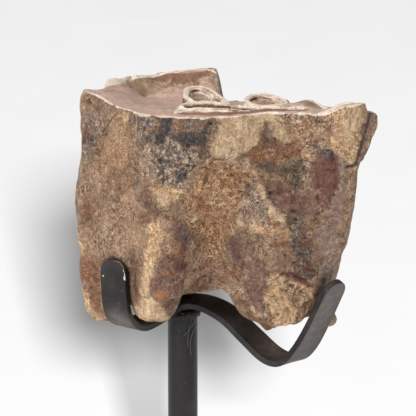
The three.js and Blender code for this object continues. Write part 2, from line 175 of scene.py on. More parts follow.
def smoothstep(values: Array, start: float, end: float) -> Array:
    """0 before start, 1 after end, and a smooth rise between them."""
    share = np.clip((values - start) / (end - start), 0, 1)
    return share * share * (3 - 2 * share)


def lattice_noise(points: Array, size: float | Triple, seed: int) -> Array:
    """Smooth noise between -1 and 1.

    Args:
        points: (n, 3) places in millimetres.
        size: distance in millimetres from one bump to the next, or one for each axis.
        seed: picks another pattern.

    Returns:
        One value for each point.
    """
    scaled = points / np.asarray(size, dtype=float) + seed * 17.31
    cell = np.floor(scaled).astype(np.int64)
    part = scaled - cell
    fade = part * part * (3 - 2 * part)
    total = np.zeros(len(points))
    for corner in itertools.product((0, 1), repeat=3):
        here = cell + np.array(corner)
        mixed = here[:, 0] * 374761393 + here[:, 1] * 668265263 + here[:, 2] * 2147483647 + seed * 144665
        mixed = (mixed ^ (mixed >> 13)) * 1274126177
        value = ((mixed ^ (mixed >> 16)) & 0xFFFF) / 32767.5 - 1
        total += value * np.prod(np.where(corner, fade, 1 - fade), axis=1)
    return total


def nearest_on_line(spots: Array, line: Array,
                    closed: bool = False) -> tuple[Array, Array]:
    """Distance from each spot to a line, and the line's own width there.

    Args:
        spots: (n, d) places.
        line: (m, d) corners, or (m, d + 1) with a width in the last column.
        closed: whether the last corner joins the first.

    Returns:
        The distances, and the widths at the nearest places (0 if the line has none).
    """
    size = spots.shape[1]
    best = np.full(len(spots), np.inf)
    width = np.zeros(len(spots))
    ends = np.roll(line, -1, axis=0) if closed else line[1:]
    for start, end in zip(line, ends):
        along = end[:size] - start[:size]
        share = np.clip((spots - start[:size]) @ along / max(along @ along, 1e-9), 0, 1)
        away = np.linalg.norm(spots - start[:size] - share[:, None] * along, axis=1)
        nearer = away < best
        best[nearer] = away[nearer]
        if line.shape[1] > size:
            width[nearer] = (start[size] + share * (end[size] - start[size]))[nearer]
    return best, width


def side_of_line(spots: Array, line: Array) -> tuple[Array, Array]:
    """Distance from each spot to an open line on a plane, and on which side of it the spot lies.

    Args:
        spots: (n, 2) places.
        line: (m, 2) corners.

    Returns:
        The distances, and 1 or -1 for the side.
    """
    nearest = np.full(len(spots), np.inf)
    side = np.ones(len(spots))
    for start, end in zip(line, line[1:]):
        length = np.linalg.norm(end - start)
        along = (end - start) / length
        offset = spots - start
        away = np.linalg.norm(offset - np.clip(offset @ along, 0, length)[:, None] * along, axis=1)
        side = np.where(away < nearest, np.where(offset @ (along[1], -along[0]) > 0, 1, -1), side)
        nearest = np.minimum(nearest, away)
    return nearest, side


def inside(spots: Array, outline: Array) -> Array:
    """Whether each spot lies inside a closed outline on a plane.

    Args:
        spots: (n, 2) places.
        outline: (m, 2) or (m, 3) corners.

    Returns:
        True where a spot is inside.
    """
    result = np.zeros(len(spots), dtype=bool)
    for a, b in zip(outline, np.roll(outline, -1, axis=0)):
        crosses = (a[1] > spots[:, 1]) != (b[1] > spots[:, 1])
        rise = b[1] - a[1] if b[1] != a[1] else 1e-9
        result ^= crosses & (spots[:, 0] < (b[0] - a[0]) * (spots[:, 1] - a[1]) / rise + a[0])
    return result


def depth_in(spots: Array, outline: Array) -> Array:
    """Distance from each spot to a closed outline on a plane, negative outside it."""
    away, _ = nearest_on_line(spots, outline, closed=True)
    return np.where(inside(spots, outline), away, -away)


def bell(points: Array, middle: Triple, reach: float) -> Array:
    """1 at middle, falling off smoothly round it."""
    return np.exp(-(np.linalg.norm(points - middle, axis=1) / reach) ** 2)


def oval(plan: Array, at: Pair, half: Pair, turn: float) -> Array:
    """The squared distance from the middle of a turned oval, 1 on its edge.

    Args:
        plan: (n, 2) places.
        at: the middle.
        half: half its length and width.
        turn: degrees from +X.

    Returns:
        One value for each place.
    """
    angle = math.radians(turn)
    offset = plan - at
    across = offset @ (math.cos(angle), math.sin(angle)) / half[0]
    along = offset @ (-math.sin(angle), math.cos(angle)) / half[1]
    return across ** 2 + along ** 2


def wander(points: Array, size: float, reach: float, seed: int) -> Array:
    """Two columns of smooth noise, up to reach millimetres, that shift places on the wall."""
    return reach * np.stack([lattice_noise(points, size, seed + column) for column in (0, 1)], axis=1)


@dataclass(frozen=True)
class View:
    """The camera's square view, in whose pixels the outlines of the stains are given."""

    side: int = 416
    width: float = 86.67
    target: Triple = (5.4, -8.0, 106.5)
    tilt: float = math.radians(17.5)
    distance: float = 700.0

    def pixel(self) -> float:
        """The size of a pixel at the target, in millimetres."""
        return self.width / self.side

    def seen(self, points: Array) -> Array:
        """Where the camera sees places.

        Args:
            points: (n, 3) places in millimetres, with heights counted from SEAT_HEIGHT.

        Returns:
            (n, 2) millimetres at the target, to the right and down from the view's top left corner.
        """
        right, deep, rise = (points + (0, 0, SEAT_HEIGHT) - np.array(self.target)).T
        up = rise * math.cos(self.tilt) + deep * math.sin(self.tilt)
        away = self.distance + deep * math.cos(self.tilt) - rise * math.sin(self.tilt)
        return self.width / 2 + np.stack([right, -up], axis=1) * (self.distance / away)[:, None]


VIEW = View()


def rounded(outline: tuple, steps: int = 5) -> Array:
    """A closed outline with its corners rounded by a Catmull-Rom curve.

    Args:
        outline: corners of any dimension.
        steps: pieces between two corners.

    Returns:
        (len(outline) * steps, d) points.
    """
    knots = np.array(outline, dtype=float)
    before, after, later = (np.roll(knots, shift, axis=0) for shift in (1, -1, -2))
    points = []
    for share in np.arange(steps) / steps:
        square, cube = share ** 2, share ** 3
        points.append(0.5 * (2 * knots + (after - before) * share
                             + (2 * before - 5 * knots + 4 * after - later) * square
                             + (3 * knots - before - 3 * after + later) * cube))
    return np.stack(points, axis=1).reshape(-1, knots.shape[1])


def select_only(obj: Object) -> None:
    """Makes obj the one selected and active object.

    Args:
        obj: the object.
    """
    bpy.ops.object.select_all(action="DESELECT")
    obj.select_set(True)
    bpy.context.view_layer.objects.active = obj


def apply_modifier(obj: Object, kind: str, **settings) -> None:
    """Adds a modifier with its settings and applies it.

    Args:
        obj: the object.
        kind: the modifier's type.
        **settings: its properties.
    """
    modifier = obj.modifiers.new(kind.lower(), kind)
    for name, value in settings.items():
        setattr(modifier, name, value)
    select_only(obj)
    bpy.ops.object.modifier_apply(modifier=modifier.name)


def coordinates(obj: Object) -> Array:
    """The vertices of obj in millimetres, with heights counted from SEAT_HEIGHT.

    Args:
        obj: the object.

    Returns:
        (n, 3) places.
    """
    flat = np.empty(len(obj.data.vertices) * 3)
    obj.data.vertices.foreach_get("co", flat)
    return flat.reshape(-1, 3) / MM - (0, 0, SEAT_HEIGHT)


def place(obj: Object, points: Array) -> None:
    """Moves the vertices of obj to points, given as coordinates() gives them."""
    obj.data.vertices.foreach_set("co", ((points + (0, 0, SEAT_HEIGHT)) * MM).ravel())
    obj.data.update()


def normals(obj: Object) -> Array:
    """The vertex normals of obj.

    Args:
        obj: the object.

    Returns:
        (n, 3) directions.
    """
    flat = np.empty(len(obj.data.vertices) * 3)
    obj.data.vertex_normals.foreach_get("vector", flat)
    return flat.reshape(-1, 3)


def write_mask(obj: Object, name: str, values: Array) -> None:
    """Stores one number for each vertex under a name that a material can read."""
    layer = obj.data.attributes.new(name, "FLOAT", "POINT")
    layer.data.foreach_set("value", values.astype(np.float32))


def copy_of_node(node: str, name: str) -> Object:
    """A new object with a merged copy of a CAD node's mesh.

    Args:
        node: the CAD node.
        name: the new object's name.

    Returns:
        The new object, selected and active.
    """
    obj = bpy.data.objects.new(name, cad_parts[node].data.copy())
    obj.data.materials.clear()
    bpy.context.scene.collection.objects.link(obj)
    select_only(obj)
    bpy.ops.object.mode_set(mode="EDIT")
    bpy.ops.mesh.select_all(action="SELECT")
    bpy.ops.mesh.remove_doubles(threshold=1e-6)
    bpy.ops.object.mode_set(mode="OBJECT")
    return obj


def finish_piece(obj: Object, material: bpy.types.Material, slot: Slot, *nodes: str) -> None:
    """Gives a finished piece its material and its body, and hides the nodes it stands for.

    Args:
        obj: the piece.
        material: its material.
        slot: not used.
        *nodes: the CAD nodes that it replaces.
    """
    obj.data.materials.clear()
    obj.data.materials.append(material)
    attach(obj, BODY)
    if nodes:
        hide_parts(*nodes)
    LOG.info("%s: %d faces", obj.name, len(obj.data.polygons))


def coated(add: Adder, ground: Feed, *coats: tuple[Feed, Feed]) -> Feed:
    """Lays coats over a ground, one after the other, each given as the share it covers and its colour."""
    for share, colour in coats:
        ground = add("Mix", {MIX_FACTOR: share, MIX_A: ground, MIX_B: colour}, data_type="RGBA")
    return ground


@dataclass(frozen=True)
class Finish:
    """A finish with one Principled shader."""

    name: str

    def surface(self, add: Adder, spot: Feed) -> dict[str, Feed]:
        """What goes into the shader, worked out from the spot on the piece."""
        raise NotImplementedError

    def material(self) -> bpy.types.Material:
        """Builds the node tree.

        Returns:
            The material.
        """
        material = bpy.data.materials.new(self.name)
        material.use_nodes = True
        material.node_tree.nodes.clear()
        add = partial(add_node, material.node_tree)
        spot = add("TexCoord").outputs["Object"]
        shader = add("BsdfPrincipled", self.surface(add, spot))
        add("OutputMaterial", {"Surface": shader})
        return material


@dataclass(frozen=True)
class FossilFinish(Finish):
    """Mineralised tooth: chalky cement over enamel, worn dentine on top, stained by iron and manganese.

    Fresh breaks and cement scatter light evenly, the grinding surface and the enamel keep a dull polish.
    """

    name: str = "mineralised_tooth_enamel_cement"
    cement: tuple[str, str] = ("#664e3a", "#b09074")
    dentine: tuple[str, str] = ("#987a6a", "#d4b4a2")
    enamel: tuple[str, str] = ("#c2a68c", "#f1e4d5")
    # Dark colour laid into hollows and narrow cracks: sediment, and in the hollows also painted shade.
    soil_and_shade: str = "#2b1f17"
    rubbed: str = "#d0b795"
    iron: str = "#8a5330"
    chalk: str = "#cdb9a4"
    blotch_size: float = 1.5
    cell_size: float = 0.42
    grit_size: float = 0.26
    pit_size: float = 1.5
    vein_size: float = 9.0
    patch_size: float = 7.5
    edge_size: float = 2.2
    fleck_size: float = 2.4
    web_size: float = 1.9
    web_noise_size: float = 1.05
    web_swing: float = 1.8
    tremble_size: float = 1.1
    uneven_size: float = 4.0
    streak_size: Pair = (0.5, 7.0)
    warp: float = 1.4
    darkest: Triple = (0.28, 0.2, 0.11)
    bare_crust: float = 0.8
    plain_crust: float = 1.1
    polished_crust: float = 0.14
    stain_ragged: float = 1.5
    stain_span: Pair = (0.36, 0.6)
    stain_most: float = 0.92
    enamel_ragged: float = 0.3
    enamel_span: Pair = (0.21, 0.09)
    fleck_rise: float = 0.1
    iron_fleck: Pair = (0.53, 0.5)
    chalk_fleck: Pair = (0.56, 0.42)
    grain_shade: Pair = (0.25, 1.7)
    pit_edge: float = 0.06
    pit_shade: float = 0.66
    vein_half: float = 0.018
    vein_dark: float = 0.45
    dirt_most: float = 0.8
    rubbed_most: float = 0.4
    hair_most: float = 0.85
    hair_tremble: float = 1.2
    hair_span: Pair = (1.7, 0.7)
    rough: float = 0.78
    wear_rough: float = 0.45
    enamel_rough: float = 0.34
    rough_swing: float = 0.12
    relief_span: Pair = (0.95, 0.14)
    grain_relief: float = 0.22

    @property
    def tones(self) -> dict[Stain, tuple[str, str]]:
        """The darker and the lighter tone of each stain, in the order they lie on each other."""
        return {
            Stain.SAND: ("#6a4c3a", "#9c7c62"),
            Stain.BONE: ("#967050", "#e8c49a"),
            Stain.GOLD: ("#6c4a34", "#b48c66"),
            Stain.RUST: ("#543422", "#966a4a"),
            Stain.COCOA: ("#684c3a", "#ae9276"),
            Stain.ASH: ("#5e4c40", "#a8907c"),
            Stain.MAUVE: ("#70584e", "#a48c80"),
            Stain.MOSS: ("#443226", "#927a62"),
            Stain.PLUM: ("#50362e", "#947060"),
            Stain.BLOOD: ("#4a2620", "#805244"),
            Stain.SLATE: ("#40322c", "#846e64"),
            Stain.NET: ("#443a3a", "#c2aa92"),
            Stain.MANGANESE: ("#222024", "#7c6e6a"),
            Stain.OCHRE: ("#7a563c", "#ba9674"),
            Stain.EMBER: ("#663c26", "#b6825a"),
            Stain.CREAM: ("#947456", "#dec29e"),
        }

    @property
    def crust(self) -> dict[Stain, float]:
        """How crusty the surface is under each stain, 1 being all crust."""
        smoother = {
            Stain.CREAM: 0.4, Stain.BONE: 0.7, Stain.RUST: 0.75, Stain.MAUVE: 0.5, Stain.PLUM: 0.6,
            Stain.BLOOD: 0.4, Stain.NET: 0.35, Stain.MANGANESE: 0.3, Stain.OCHRE: 0.8, Stain.EMBER: 0.5}
        return {stain: smoother.get(stain, self.plain_crust) for stain in Stain}

    def surface(self, add: Adder, spot: Feed) -> dict[str, Feed]:
        """What goes into the shader.

        Args:
            add: adds a node.
            spot: where on the piece.

        Returns:
            The shader's inputs.
        """
        sway = add("TexNoise", {"Vector": spot, "Scale": per_mm(self.edge_size), "Detail": 3.0})
        centred = add("VectorMath", (sway.outputs["Color"], (0.5, 0.5, 0.5)), operation="SUBTRACT")
        moved = add("VectorMath", {0: centred, "Scale": self.warp * MM}, operation="SCALE")
        warped = add("VectorMath", (spot, moved))
        mask = {mask: add("Attribute", attribute_name=mask.value).outputs["Fac"]
                for mask in (*Mask, *Stain)}

        blotches = self._contrast(add, warped, self.blotch_size, 6.0, (0.36, 0.64))
        drift = self._contrast(add, warped, self.patch_size, 3.0, (0.35, 0.65))
        grit = self._contrast(add, warped, self.grit_size, 3.0, (0.39, 0.61))
        grains = add("TexVoronoi", {"Vector": warped, "Scale": per_mm(self.cell_size)})
        chance = add("SeparateXYZ", (grains.outputs["Color"],)).outputs[0]
        streaks = self._streaks(add, warped)
        mottle = self._sum(add, (blotches, 0.5), (chance, 0.22), (drift, 0.28))
        lined = self._sum(add, (blotches, 0.4), (chance, 0.2), (streaks, 0.4))

        borders = add("TexNoise", {
            "Vector": warped, "Scale": per_mm(self.edge_size), "Detail": 8.0, "Roughness": 0.74})
        ragged = add("SeparateXYZ", (borders.outputs["Color"],)).outputs
        worn = coated(add, linear(self.dentine[0]), (lined, linear(self.dentine[1])))
        colour = coated(
            add, linear(self.cement[0]), (mottle, linear(self.cement[1])), (mask[Mask.WEAR], worn))
        colour, matt = self._stained(add, warped, ragged, mask, (mottle, lined), colour)

        band = self._sum(add, (ragged[1], self.enamel_ragged), start=mask[Mask.ENAMEL])
        glaze = add("MapRange", (band, *self.enamel_span), interpolation_type="SMOOTHSTEP")
        smooth = add("Math", (mask[Mask.WEAR], glaze), operation="MAXIMUM")
        matt = add("Mix", {0: smooth, 2: matt, 3: self.polished_crust})
        colour = self._flecked(add, warped, matt, colour)
        colour = add("VectorMath", {0: colour, "Scale": mask[Mask.SHADE]}, operation="SCALE")
        bright = coated(add, linear(self.enamel[0]), (lined, linear(self.enamel[1])))
        colour = coated(add, colour, (glaze, bright))
        colour = self._shaded(add, warped, matt, grit, chance, colour)

        hair = self._hairs(add, spot, mask)
        # Painted shade: hollows are darkened with this dark colour, for sediment lodged in them and for the
        # shade that falls there.
        soil_and_shade = add("Math", (mask[Mask.DIRT_AND_SHADE], self.dirt_most), operation="MULTIPLY")
        soil_and_shade = add("Math", (soil_and_shade, hair), operation="MAXIMUM")
        rub = add("Math", (mask[Mask.POLISH], self.rubbed_most), operation="MULTIPLY")
        colour = coated(add, colour, (soil_and_shade, linear(self.soil_and_shade)), (rub, linear(self.rubbed)))

        gloss = add("MapRange", (mask[Mask.WEAR], 0.0, 1.0, self.rough, self.wear_rough))
        gloss = add("Mix", {0: glaze, 2: gloss, 3: self.enamel_rough})
        gloss = add("Math", (blotches, self.rough_swing, gloss), operation="MULTIPLY_ADD")
        relief = self._sum(add, (grit, 0.45), (blotches, 0.9), (chance, 0.22), (streaks, 0.35), (hair, -0.8))
        calm = add("MapRange", (mask[Mask.WEAR], 0.0, 1.0, *self.relief_span))
        bump = add("Bump", {"Height": relief, "Strength": calm, "Distance": self.grain_relief * MM})
        return {"Base Color": colour, "Roughness": gloss, "Normal": bump}

    def _stained(self, add: Adder, vector: Feed, ragged: Feed, mask: dict, patterns: tuple,
                 colour: Feed) -> tuple[Feed, Feed]:
        """Lays the stains over each other.

        Args:
            add: adds a node.
            vector: where on the tooth.
            ragged: three kinds of noise that fray the stains' edges.
            mask: the number that the mesh stores for each stain.
            patterns: the pattern of most stains, and of those that let the growth lines show.
            colour: the colour below them.

        Returns:
            The stained colour, and how crusty the surface is.
        """
        mottle, lined = patterns
        special = {
            Stain.MANGANESE: self._web(add, vector, (0.42, 0.68)),
            Stain.NET: self._web(add, vector, (0.43, 0.57)),
            Stain.CREAM: lined,
            Stain.BONE: lined,
        }
        matt = self.bare_crust
        for number, (stain, (dark, light)) in enumerate(self.tones.items()):
            tone = coated(add, linear(dark), (special.get(stain, mottle), linear(light)))
            frayed = self._sum(add, (ragged[number % 3], self.stain_ragged), start=-self.stain_ragged / 2)
            cover = add("Math", (mask[stain], frayed))
            share = add("MapRange", (cover, *self.stain_span, 0.0, self.stain_most),
                        interpolation_type="SMOOTHSTEP")
            colour = coated(add, colour, (share, tone))
            matt = add("Mix", {0: share, 2: matt, 3: self.crust[stain]})
        return colour, matt

    def _sum(self, add: Adder, *parts: tuple[Feed, float], start: Feed = 0.0) -> Feed:
        """Adds numbers, each times its weight, to start."""
        for number, weight in parts:
            start = add("Math", (number, weight, start), operation="MULTIPLY_ADD")
        return start

    def _flecked(self, add: Adder, vector: Feed, matt: Feed, colour: Feed) -> Feed:
        """Adds spots of iron and of chalk where the surface is crusty.

        Args:
            add: adds a node.
            vector: where on the tooth.
            matt: how crusty the surface is.
            colour: the colour.

        Returns:
            The flecked colour.
        """
        noise = add("TexNoise", {
            "Vector": vector, "Scale": per_mm(self.fleck_size), "Detail": 7.0, "Roughness": 0.68})
        red, green, _ = add("SeparateXYZ", (noise.outputs["Color"],)).outputs
        for value, (start, most), tone in (
                (red, self.iron_fleck, self.iron), (green, self.chalk_fleck, self.chalk)):
            fleck = add("MapRange", (value, start, start + self.fleck_rise, 0.0, most))
            share = add("Math", (fleck, matt), operation="MULTIPLY")
            colour = coated(add, colour, (share, linear(tone)))
        return colour

    def _shaded(self, add: Adder, vector: Feed, matt: Feed, grit: Feed, chance: Feed,
                colour: Feed) -> Feed:
        """Breaks a colour up into light and dark grains, pits and veins.

        Args:
            add: adds a node.
            vector: where on the tooth.
            matt: how crusty the surface is.
            grit: fine noise.
            chance: a number for each grain.
            colour: the colour.

        Returns:
            The grained colour.
        """
        grain = self._sum(add, (grit, 0.6), (chance, 0.4))
        shade = add("MapRange", (grain, 0.1, 0.9, *self.grain_shade))
        pits = add("TexVoronoi", {"Vector": vector, "Scale": per_mm(self.pit_size)})
        wide = add("SeparateXYZ", (pits.outputs["Color"],)).outputs[1]
        edge = add("Math", (wide, 0.42, -0.2), operation="MULTIPLY_ADD")
        inner = add("Math", (pits, edge), operation="SUBTRACT")
        pit = add("MapRange", (inner, -self.pit_edge, self.pit_edge, self.pit_shade, 1.0))
        net = add("TexVoronoi", {
            "Vector": vector, "Scale": per_mm(self.vein_size)}, feature="DISTANCE_TO_EDGE")
        gate = self._contrast(add, vector, self.vein_size, 2.0, (0.45, 0.6))
        line = add("MapRange", (net, 0.0, self.vein_half, 1.0, 0.0))
        vein = add("Math", (line, gate), operation="MULTIPLY")
        vein = add("Math", (vein, -self.vein_dark, 1.0), operation="MULTIPLY_ADD")
        for darker in (pit, vein):
            shade = add("Math", (shade, darker), operation="MULTIPLY")
        uneven = self._contrast(add, vector, self.uneven_size, 2.0, (0.35, 0.65))
        amount = add("MapRange", (uneven, 0.0, 1.0, 0.5, 1.4))
        amount = add("Math", (amount, matt), operation="MULTIPLY")
        level = add("Mix", {0: amount, 2: 1.0, 3: shade}, clamp_factor=False)
        level = add("MapRange", (level, 0.2, 1.8))
        brightest = (2 - share for share in self.darkest)
        tint = coated(add, (*self.darkest, 1.0), (level, (*brightest, 1.0)))
        return add("VectorMath", (colour, tint), operation="MULTIPLY")

    def _hairs(self, add: Adder, vector: Feed, mask: dict) -> Feed:
        """Narrow cracks: where the distance to one, in half widths, is under 1.

        Args:
            add: adds a node.
            vector: where on the tooth.
            mask: the numbers that the mesh stores.

        Returns:
            How much of a crack shows.
        """
        tremble = add("TexNoise", {"Vector": vector, "Scale": per_mm(self.tremble_size), "Detail": 3.0})
        drawn = self._sum(add, (tremble, self.hair_tremble), start=mask[Mask.HAIR])
        away = add("Math", (drawn, -self.hair_tremble / 2))
        away = add("Math", (away,), operation="ABSOLUTE")
        line = add("MapRange", (away, *self.hair_span, 0.0, self.hair_most))
        return add("Math", (line, mask[Mask.HAIR_NEAR]), operation="MULTIPLY")

    def _contrast(self, add: Adder, vector: Feed, size: float, detail: float, span: Pair) -> Feed:
        """Noise of a size in millimetres, stretched so that span runs from 0 to 1."""
        noise = add("TexNoise", {
            "Vector": vector, "Scale": per_mm(size), "Detail": detail, "Roughness": 0.62})
        return add("MapRange", (noise, *span))

    def _web(self, add: Adder, vector: Feed, span: Pair) -> Feed:
        """Pale flecks of many sizes parted by a dark net of manganese.

        Args:
            add: adds a node.
            vector: where on the tooth.
            span: the noise at which the flecks set in and are full.

        Returns:
            1 in a fleck's middle, 0 on the net.
        """
        fine = add("TexNoise", {
            "Vector": vector, "Scale": per_mm(self.web_noise_size), "Detail": 7.0, "Roughness": 0.72})
        swing = add("VectorMath", {
            0: fine.outputs["Color"], "Scale": self.web_swing * MM}, operation="SCALE")
        bent = add("VectorMath", (vector, swing))
        net = add("TexVoronoi", {"Vector": bent, "Scale": per_mm(self.web_size)}, feature="DISTANCE_TO_EDGE")
        clear = add("MapRange", (net, 0.01, 0.11, 0.15, 1.0))
        fleck = add("MapRange", (fine, *span))
        return add("Math", (fleck, clear), operation="MULTIPLY")

    def _streaks(self, add: Adder, vector: Feed) -> Feed:
        """Upright growth lines of the enamel, narrow across and long in height.

        Args:
            add: adds a node.
            vector: where on the tooth.

        Returns:
            A number from 0 to 1.
        """
        across, along = self.streak_size
        stretched = add("Mapping", {
            "Vector": vector, "Scale": (per_mm(across), per_mm(across), per_mm(along))})
        noise = add("TexNoise", {"Vector": stretched, "Scale": 1.0, "Detail": 3.0})
        return add("MapRange", (noise, 0.32, 0.68))


@dataclass(frozen=True)
class PaintedSteelFinish(Finish):
    """Mild steel under satin black paint: soft reflections, a faint orange peel, chips and dust, and on the
    strap a painted sheen and painted bounce light in the dust colour.
    """

    name: str = "satin_black_paint_on_steel"
    paint: tuple[str, str] = ("#110e0f", "#1c1818")
    # The colour of dust, also used to paint a sheen and bounce light onto the strap.
    dust: str = "#a1948b"
    bare: str = "#d8d3cd"
    peel_size: float = 0.45
    cloud_size: float = 7.0
    lint_size: float = 1.9
    streak_size: float = 1.4
    chip_edge_size: float = 0.5
    lint_most: float = 0.4
    film_most: float = 0.12
    rough: Pair = (0.36, 0.5)
    reflectance: float = 0.34
    peel_strength: float = 0.35
    peel_relief: float = 0.05
    chip_mask: str = "chipped_paint"
    dust_and_sheen_mask: str = "dust_and_painted_sheen"

    def surface(self, add: Adder, spot: Feed) -> dict[str, Feed]:
        """What goes into the shader.

        Args:
            add: adds a node.
            spot: where on the piece.

        Returns:
            The shader's inputs.
        """
        worn, dust_and_sheen = (
            add("Attribute", attribute_name=name).outputs["Fac"]
            for name in (self.chip_mask, self.dust_and_sheen_mask))
        cloud = add("TexNoise", {
            "Vector": spot, "Scale": per_mm(self.cloud_size), "Detail": 5.0, "Roughness": 0.6})
        lint = add("TexVoronoi", {"Vector": spot, "Scale": per_mm(self.lint_size)})
        speck = add("MapRange", (lint, 0.07, 0.045))
        film = add("MapRange", (cloud, 0.5, 0.8, 0.0, self.film_most))
        streaky = add("TexNoise", {
            "Vector": spot, "Scale": per_mm(self.streak_size), "Detail": 6.0, "Roughness": 0.7})
        patchy = add("MapRange", (streaky, 0.3, 0.7, 0.4, 1.3))
        # The mask adds dust and, on the strap, a painted sheen and painted bounce light.
        film = add("Math", (dust_and_sheen, patchy, film), operation="MULTIPLY_ADD")
        film = add("Math", (speck, self.lint_most, film), operation="MULTIPLY_ADD")
        frayed = add("TexNoise", {"Vector": spot, "Scale": per_mm(self.chip_edge_size), "Detail": 3.0})
        chip = add("Math", (worn, frayed))
        chip = add("MapRange", (chip, 0.98, 1.08))
        colour = coated(
            add, linear(self.paint[0]), (cloud, linear(self.paint[1])), (film, linear(self.dust)),
            (chip, linear(self.bare)))
        gloss = add("MapRange", (cloud, 0.3, 0.7, *self.rough))
        peel = add("TexNoise", {"Vector": spot, "Scale": per_mm(self.peel_size), "Detail": 1.0})
        height = add("Math", (chip, -1.0, peel), operation="MULTIPLY_ADD")
        bump = add("Bump", {
            "Height": height, "Strength": self.peel_strength, "Distance": self.peel_relief * MM})
        return {
            "Base Color": colour, "Metallic": chip, "Roughness": gloss,
            "Specular IOR Level": self.reflectance, "Normal": bump}


@dataclass(frozen=True)
class WeldFinish(Finish):
    """Weld metal left as it froze and burnt black: dull, scaly, brown where the scale is thin."""

    name: str = "burnt_weld_scale"
    tones: tuple[str, str] = ("#141213", "#3a3230")
    scale_size: float = 0.8
    brown_span: Pair = (0.4, 0.72)
    rough: float = 0.62
    metal: float = 0.3
    scale_strength: float = 0.7
    scale_relief: float = 0.2

    def surface(self, add: Adder, spot: Feed) -> dict[str, Feed]:
        """What goes into the shader.

        Args:
            add: adds a node.
            spot: where on the piece.

        Returns:
            The shader's inputs.
        """
        scale = add("TexNoise", {
            "Vector": spot, "Scale": per_mm(self.scale_size), "Detail": 5.0, "Roughness": 0.7})
        thin = add("MapRange", (scale, *self.brown_span))
        colour = coated(add, linear(self.tones[0]), (thin, linear(self.tones[1])))
        bump = add("Bump", {
            "Height": scale, "Strength": self.scale_strength, "Distance": self.scale_relief * MM})
        return {
            "Base Color": colour, "Roughness": self.rough, "Metallic": self.metal, "Normal": bump}


@dataclass(frozen=True)
class CobwebFinish(Finish):
    """Dusty spider silk."""

    name: str = "dusty_cobweb_silk"
    tone: str = "#b3aca6"
    knot_size: float = 0.6
    rough: float = 0.8

    def surface(self, add: Adder, spot: Feed) -> dict[str, Feed]:
        """What goes into the shader.

        Args:
            add: adds a node.
            spot: where on the piece.

        Returns:
            The shader's inputs.
        """
        knots = add("TexNoise", {"Vector": spot, "Scale": per_mm(self.knot_size), "Detail": 3.0})
        colour = add("VectorMath", {0: linear(self.tone)[:3], "Scale": knots}, operation="SCALE")
        return {"Base Color": colour, "Roughness": self.rough}


@dataclass(frozen=True)
class SweepFinish(Finish):
    """Matt pale paper under and behind the object: even, with no gloss."""

    name: str = "matt_paper_sweep"
    tones: tuple[str, str] = ("#dadada", "#dfdfdf")
    fibre_size: float = 30.0
    rough: float = 0.95

    def surface(self, add: Adder, spot: Feed) -> dict[str, Feed]:
        """What goes into the shader.

        Args:
            add: adds a node.
            spot: where on the piece.

        Returns:
            The shader's inputs.
        """
        fibre = add("TexNoise", {"Vector": spot, "Scale": per_mm(self.fibre_size)})
        colour = coated(add, linear(self.tones[0]), (fibre, linear(self.tones[1])))
        return {"Base Color": colour, "Roughness": self.rough}


@dataclass(frozen=True)
class Stroke:
    """A ridge or groove on the cheek wall: a line of (x, height) corners, its reach and its rise."""

    line: tuple[Pair, ...]
    reach: float
    rise: float


@dataclass(frozen=True)
class Flake:
    """A patch of the cheek wall that lies higher or lower than what is round it, with a broken edge."""

    outline: tuple[Pair, ...]
    rise: float
    rough: float = 0.0


@dataclass(frozen=True)
class Pit:
    """A hole worn into the grinding surface: centre, half sizes, turn in degrees and depth."""

    at: Pair
    half: Pair
    turn: float
    depth: float


STROKES = (
    Stroke(((-12.9, 42.3), (-14.4, 40.9), (-15.5, 38.9), (-16.4, 36.4), (-17.0, 34.0), (-17.7, 31.5)),
           0.45, -0.45),
    Stroke(((-10.8, 43.9), (-11.2, 42.0), (-11.4, 39.9)), 0.35, -0.4),
    Stroke(((16.0, 30.2), (17.2, 28.2), (18.5, 25.9), (20.1, 23.7), (22.2, 20.7)), 0.7, 0.5),
    Stroke(((27.2, 37.2), (28.6, 37.8), (30.6, 37.7), (31.3, 35.6)), 0.45, -0.45),
    Stroke(((0.1, 30.7), (1.3, 33.0), (3.0, 35.0)), 0.3, -0.4),
    Stroke(((-3.8, 33.0), (-3.8, 29.8)), 0.28, -0.35),
    Stroke(((0.9, 37.8), (2.1, 35.7), (2.3, 33.9)), 0.35, -0.3),
    Stroke(((4.4, 30.1), (5.6, 32.2)), 0.3, -0.3),
    Stroke(((17.7, 11.6), (20.6, 11.8), (22.7, 11.0), (24.8, 9.4), (27.1, 7.6)), 0.7, -0.7),
    Stroke(((17.4, 12.9), (20.6, 13.1), (23.0, 12.3), (25.6, 10.4), (27.9, 8.2)), 0.7, 0.4),
    Stroke(((-6.7, 1.5), (-7.0, 7.7), (-6.6, 12.9), (-5.3, 18.3), (-3.6, 21.2)), 1.6, 0.5),
    Stroke(((0.8, 6.2), (1.7, 12.8), (1.3, 17.9)), 1.2, -0.4),
    Stroke(((31.7, 35.5), (31.3, 29.1), (31.2, 22.5), (30.1, 15.8)), 0.9, -0.35),
    Stroke(((34.0, 33.9), (36.8, 33.8)), 0.45, -0.45),
    Stroke(((21.3, 24.1), (24.2, 22.7), (26.7, 21.0)), 0.35, -0.35),
    Stroke(((22.1, 25.3), (25.0, 23.6), (27.9, 22.7)), 0.35, -0.3),
    Stroke(((22.6, 14.2), (25.6, 12.3), (27.3, 11.4)), 0.35, -0.35),
    Stroke(((20.2, 12.9), (23.5, 14.1), (25.5, 13.7)), 0.35, -0.35),
)

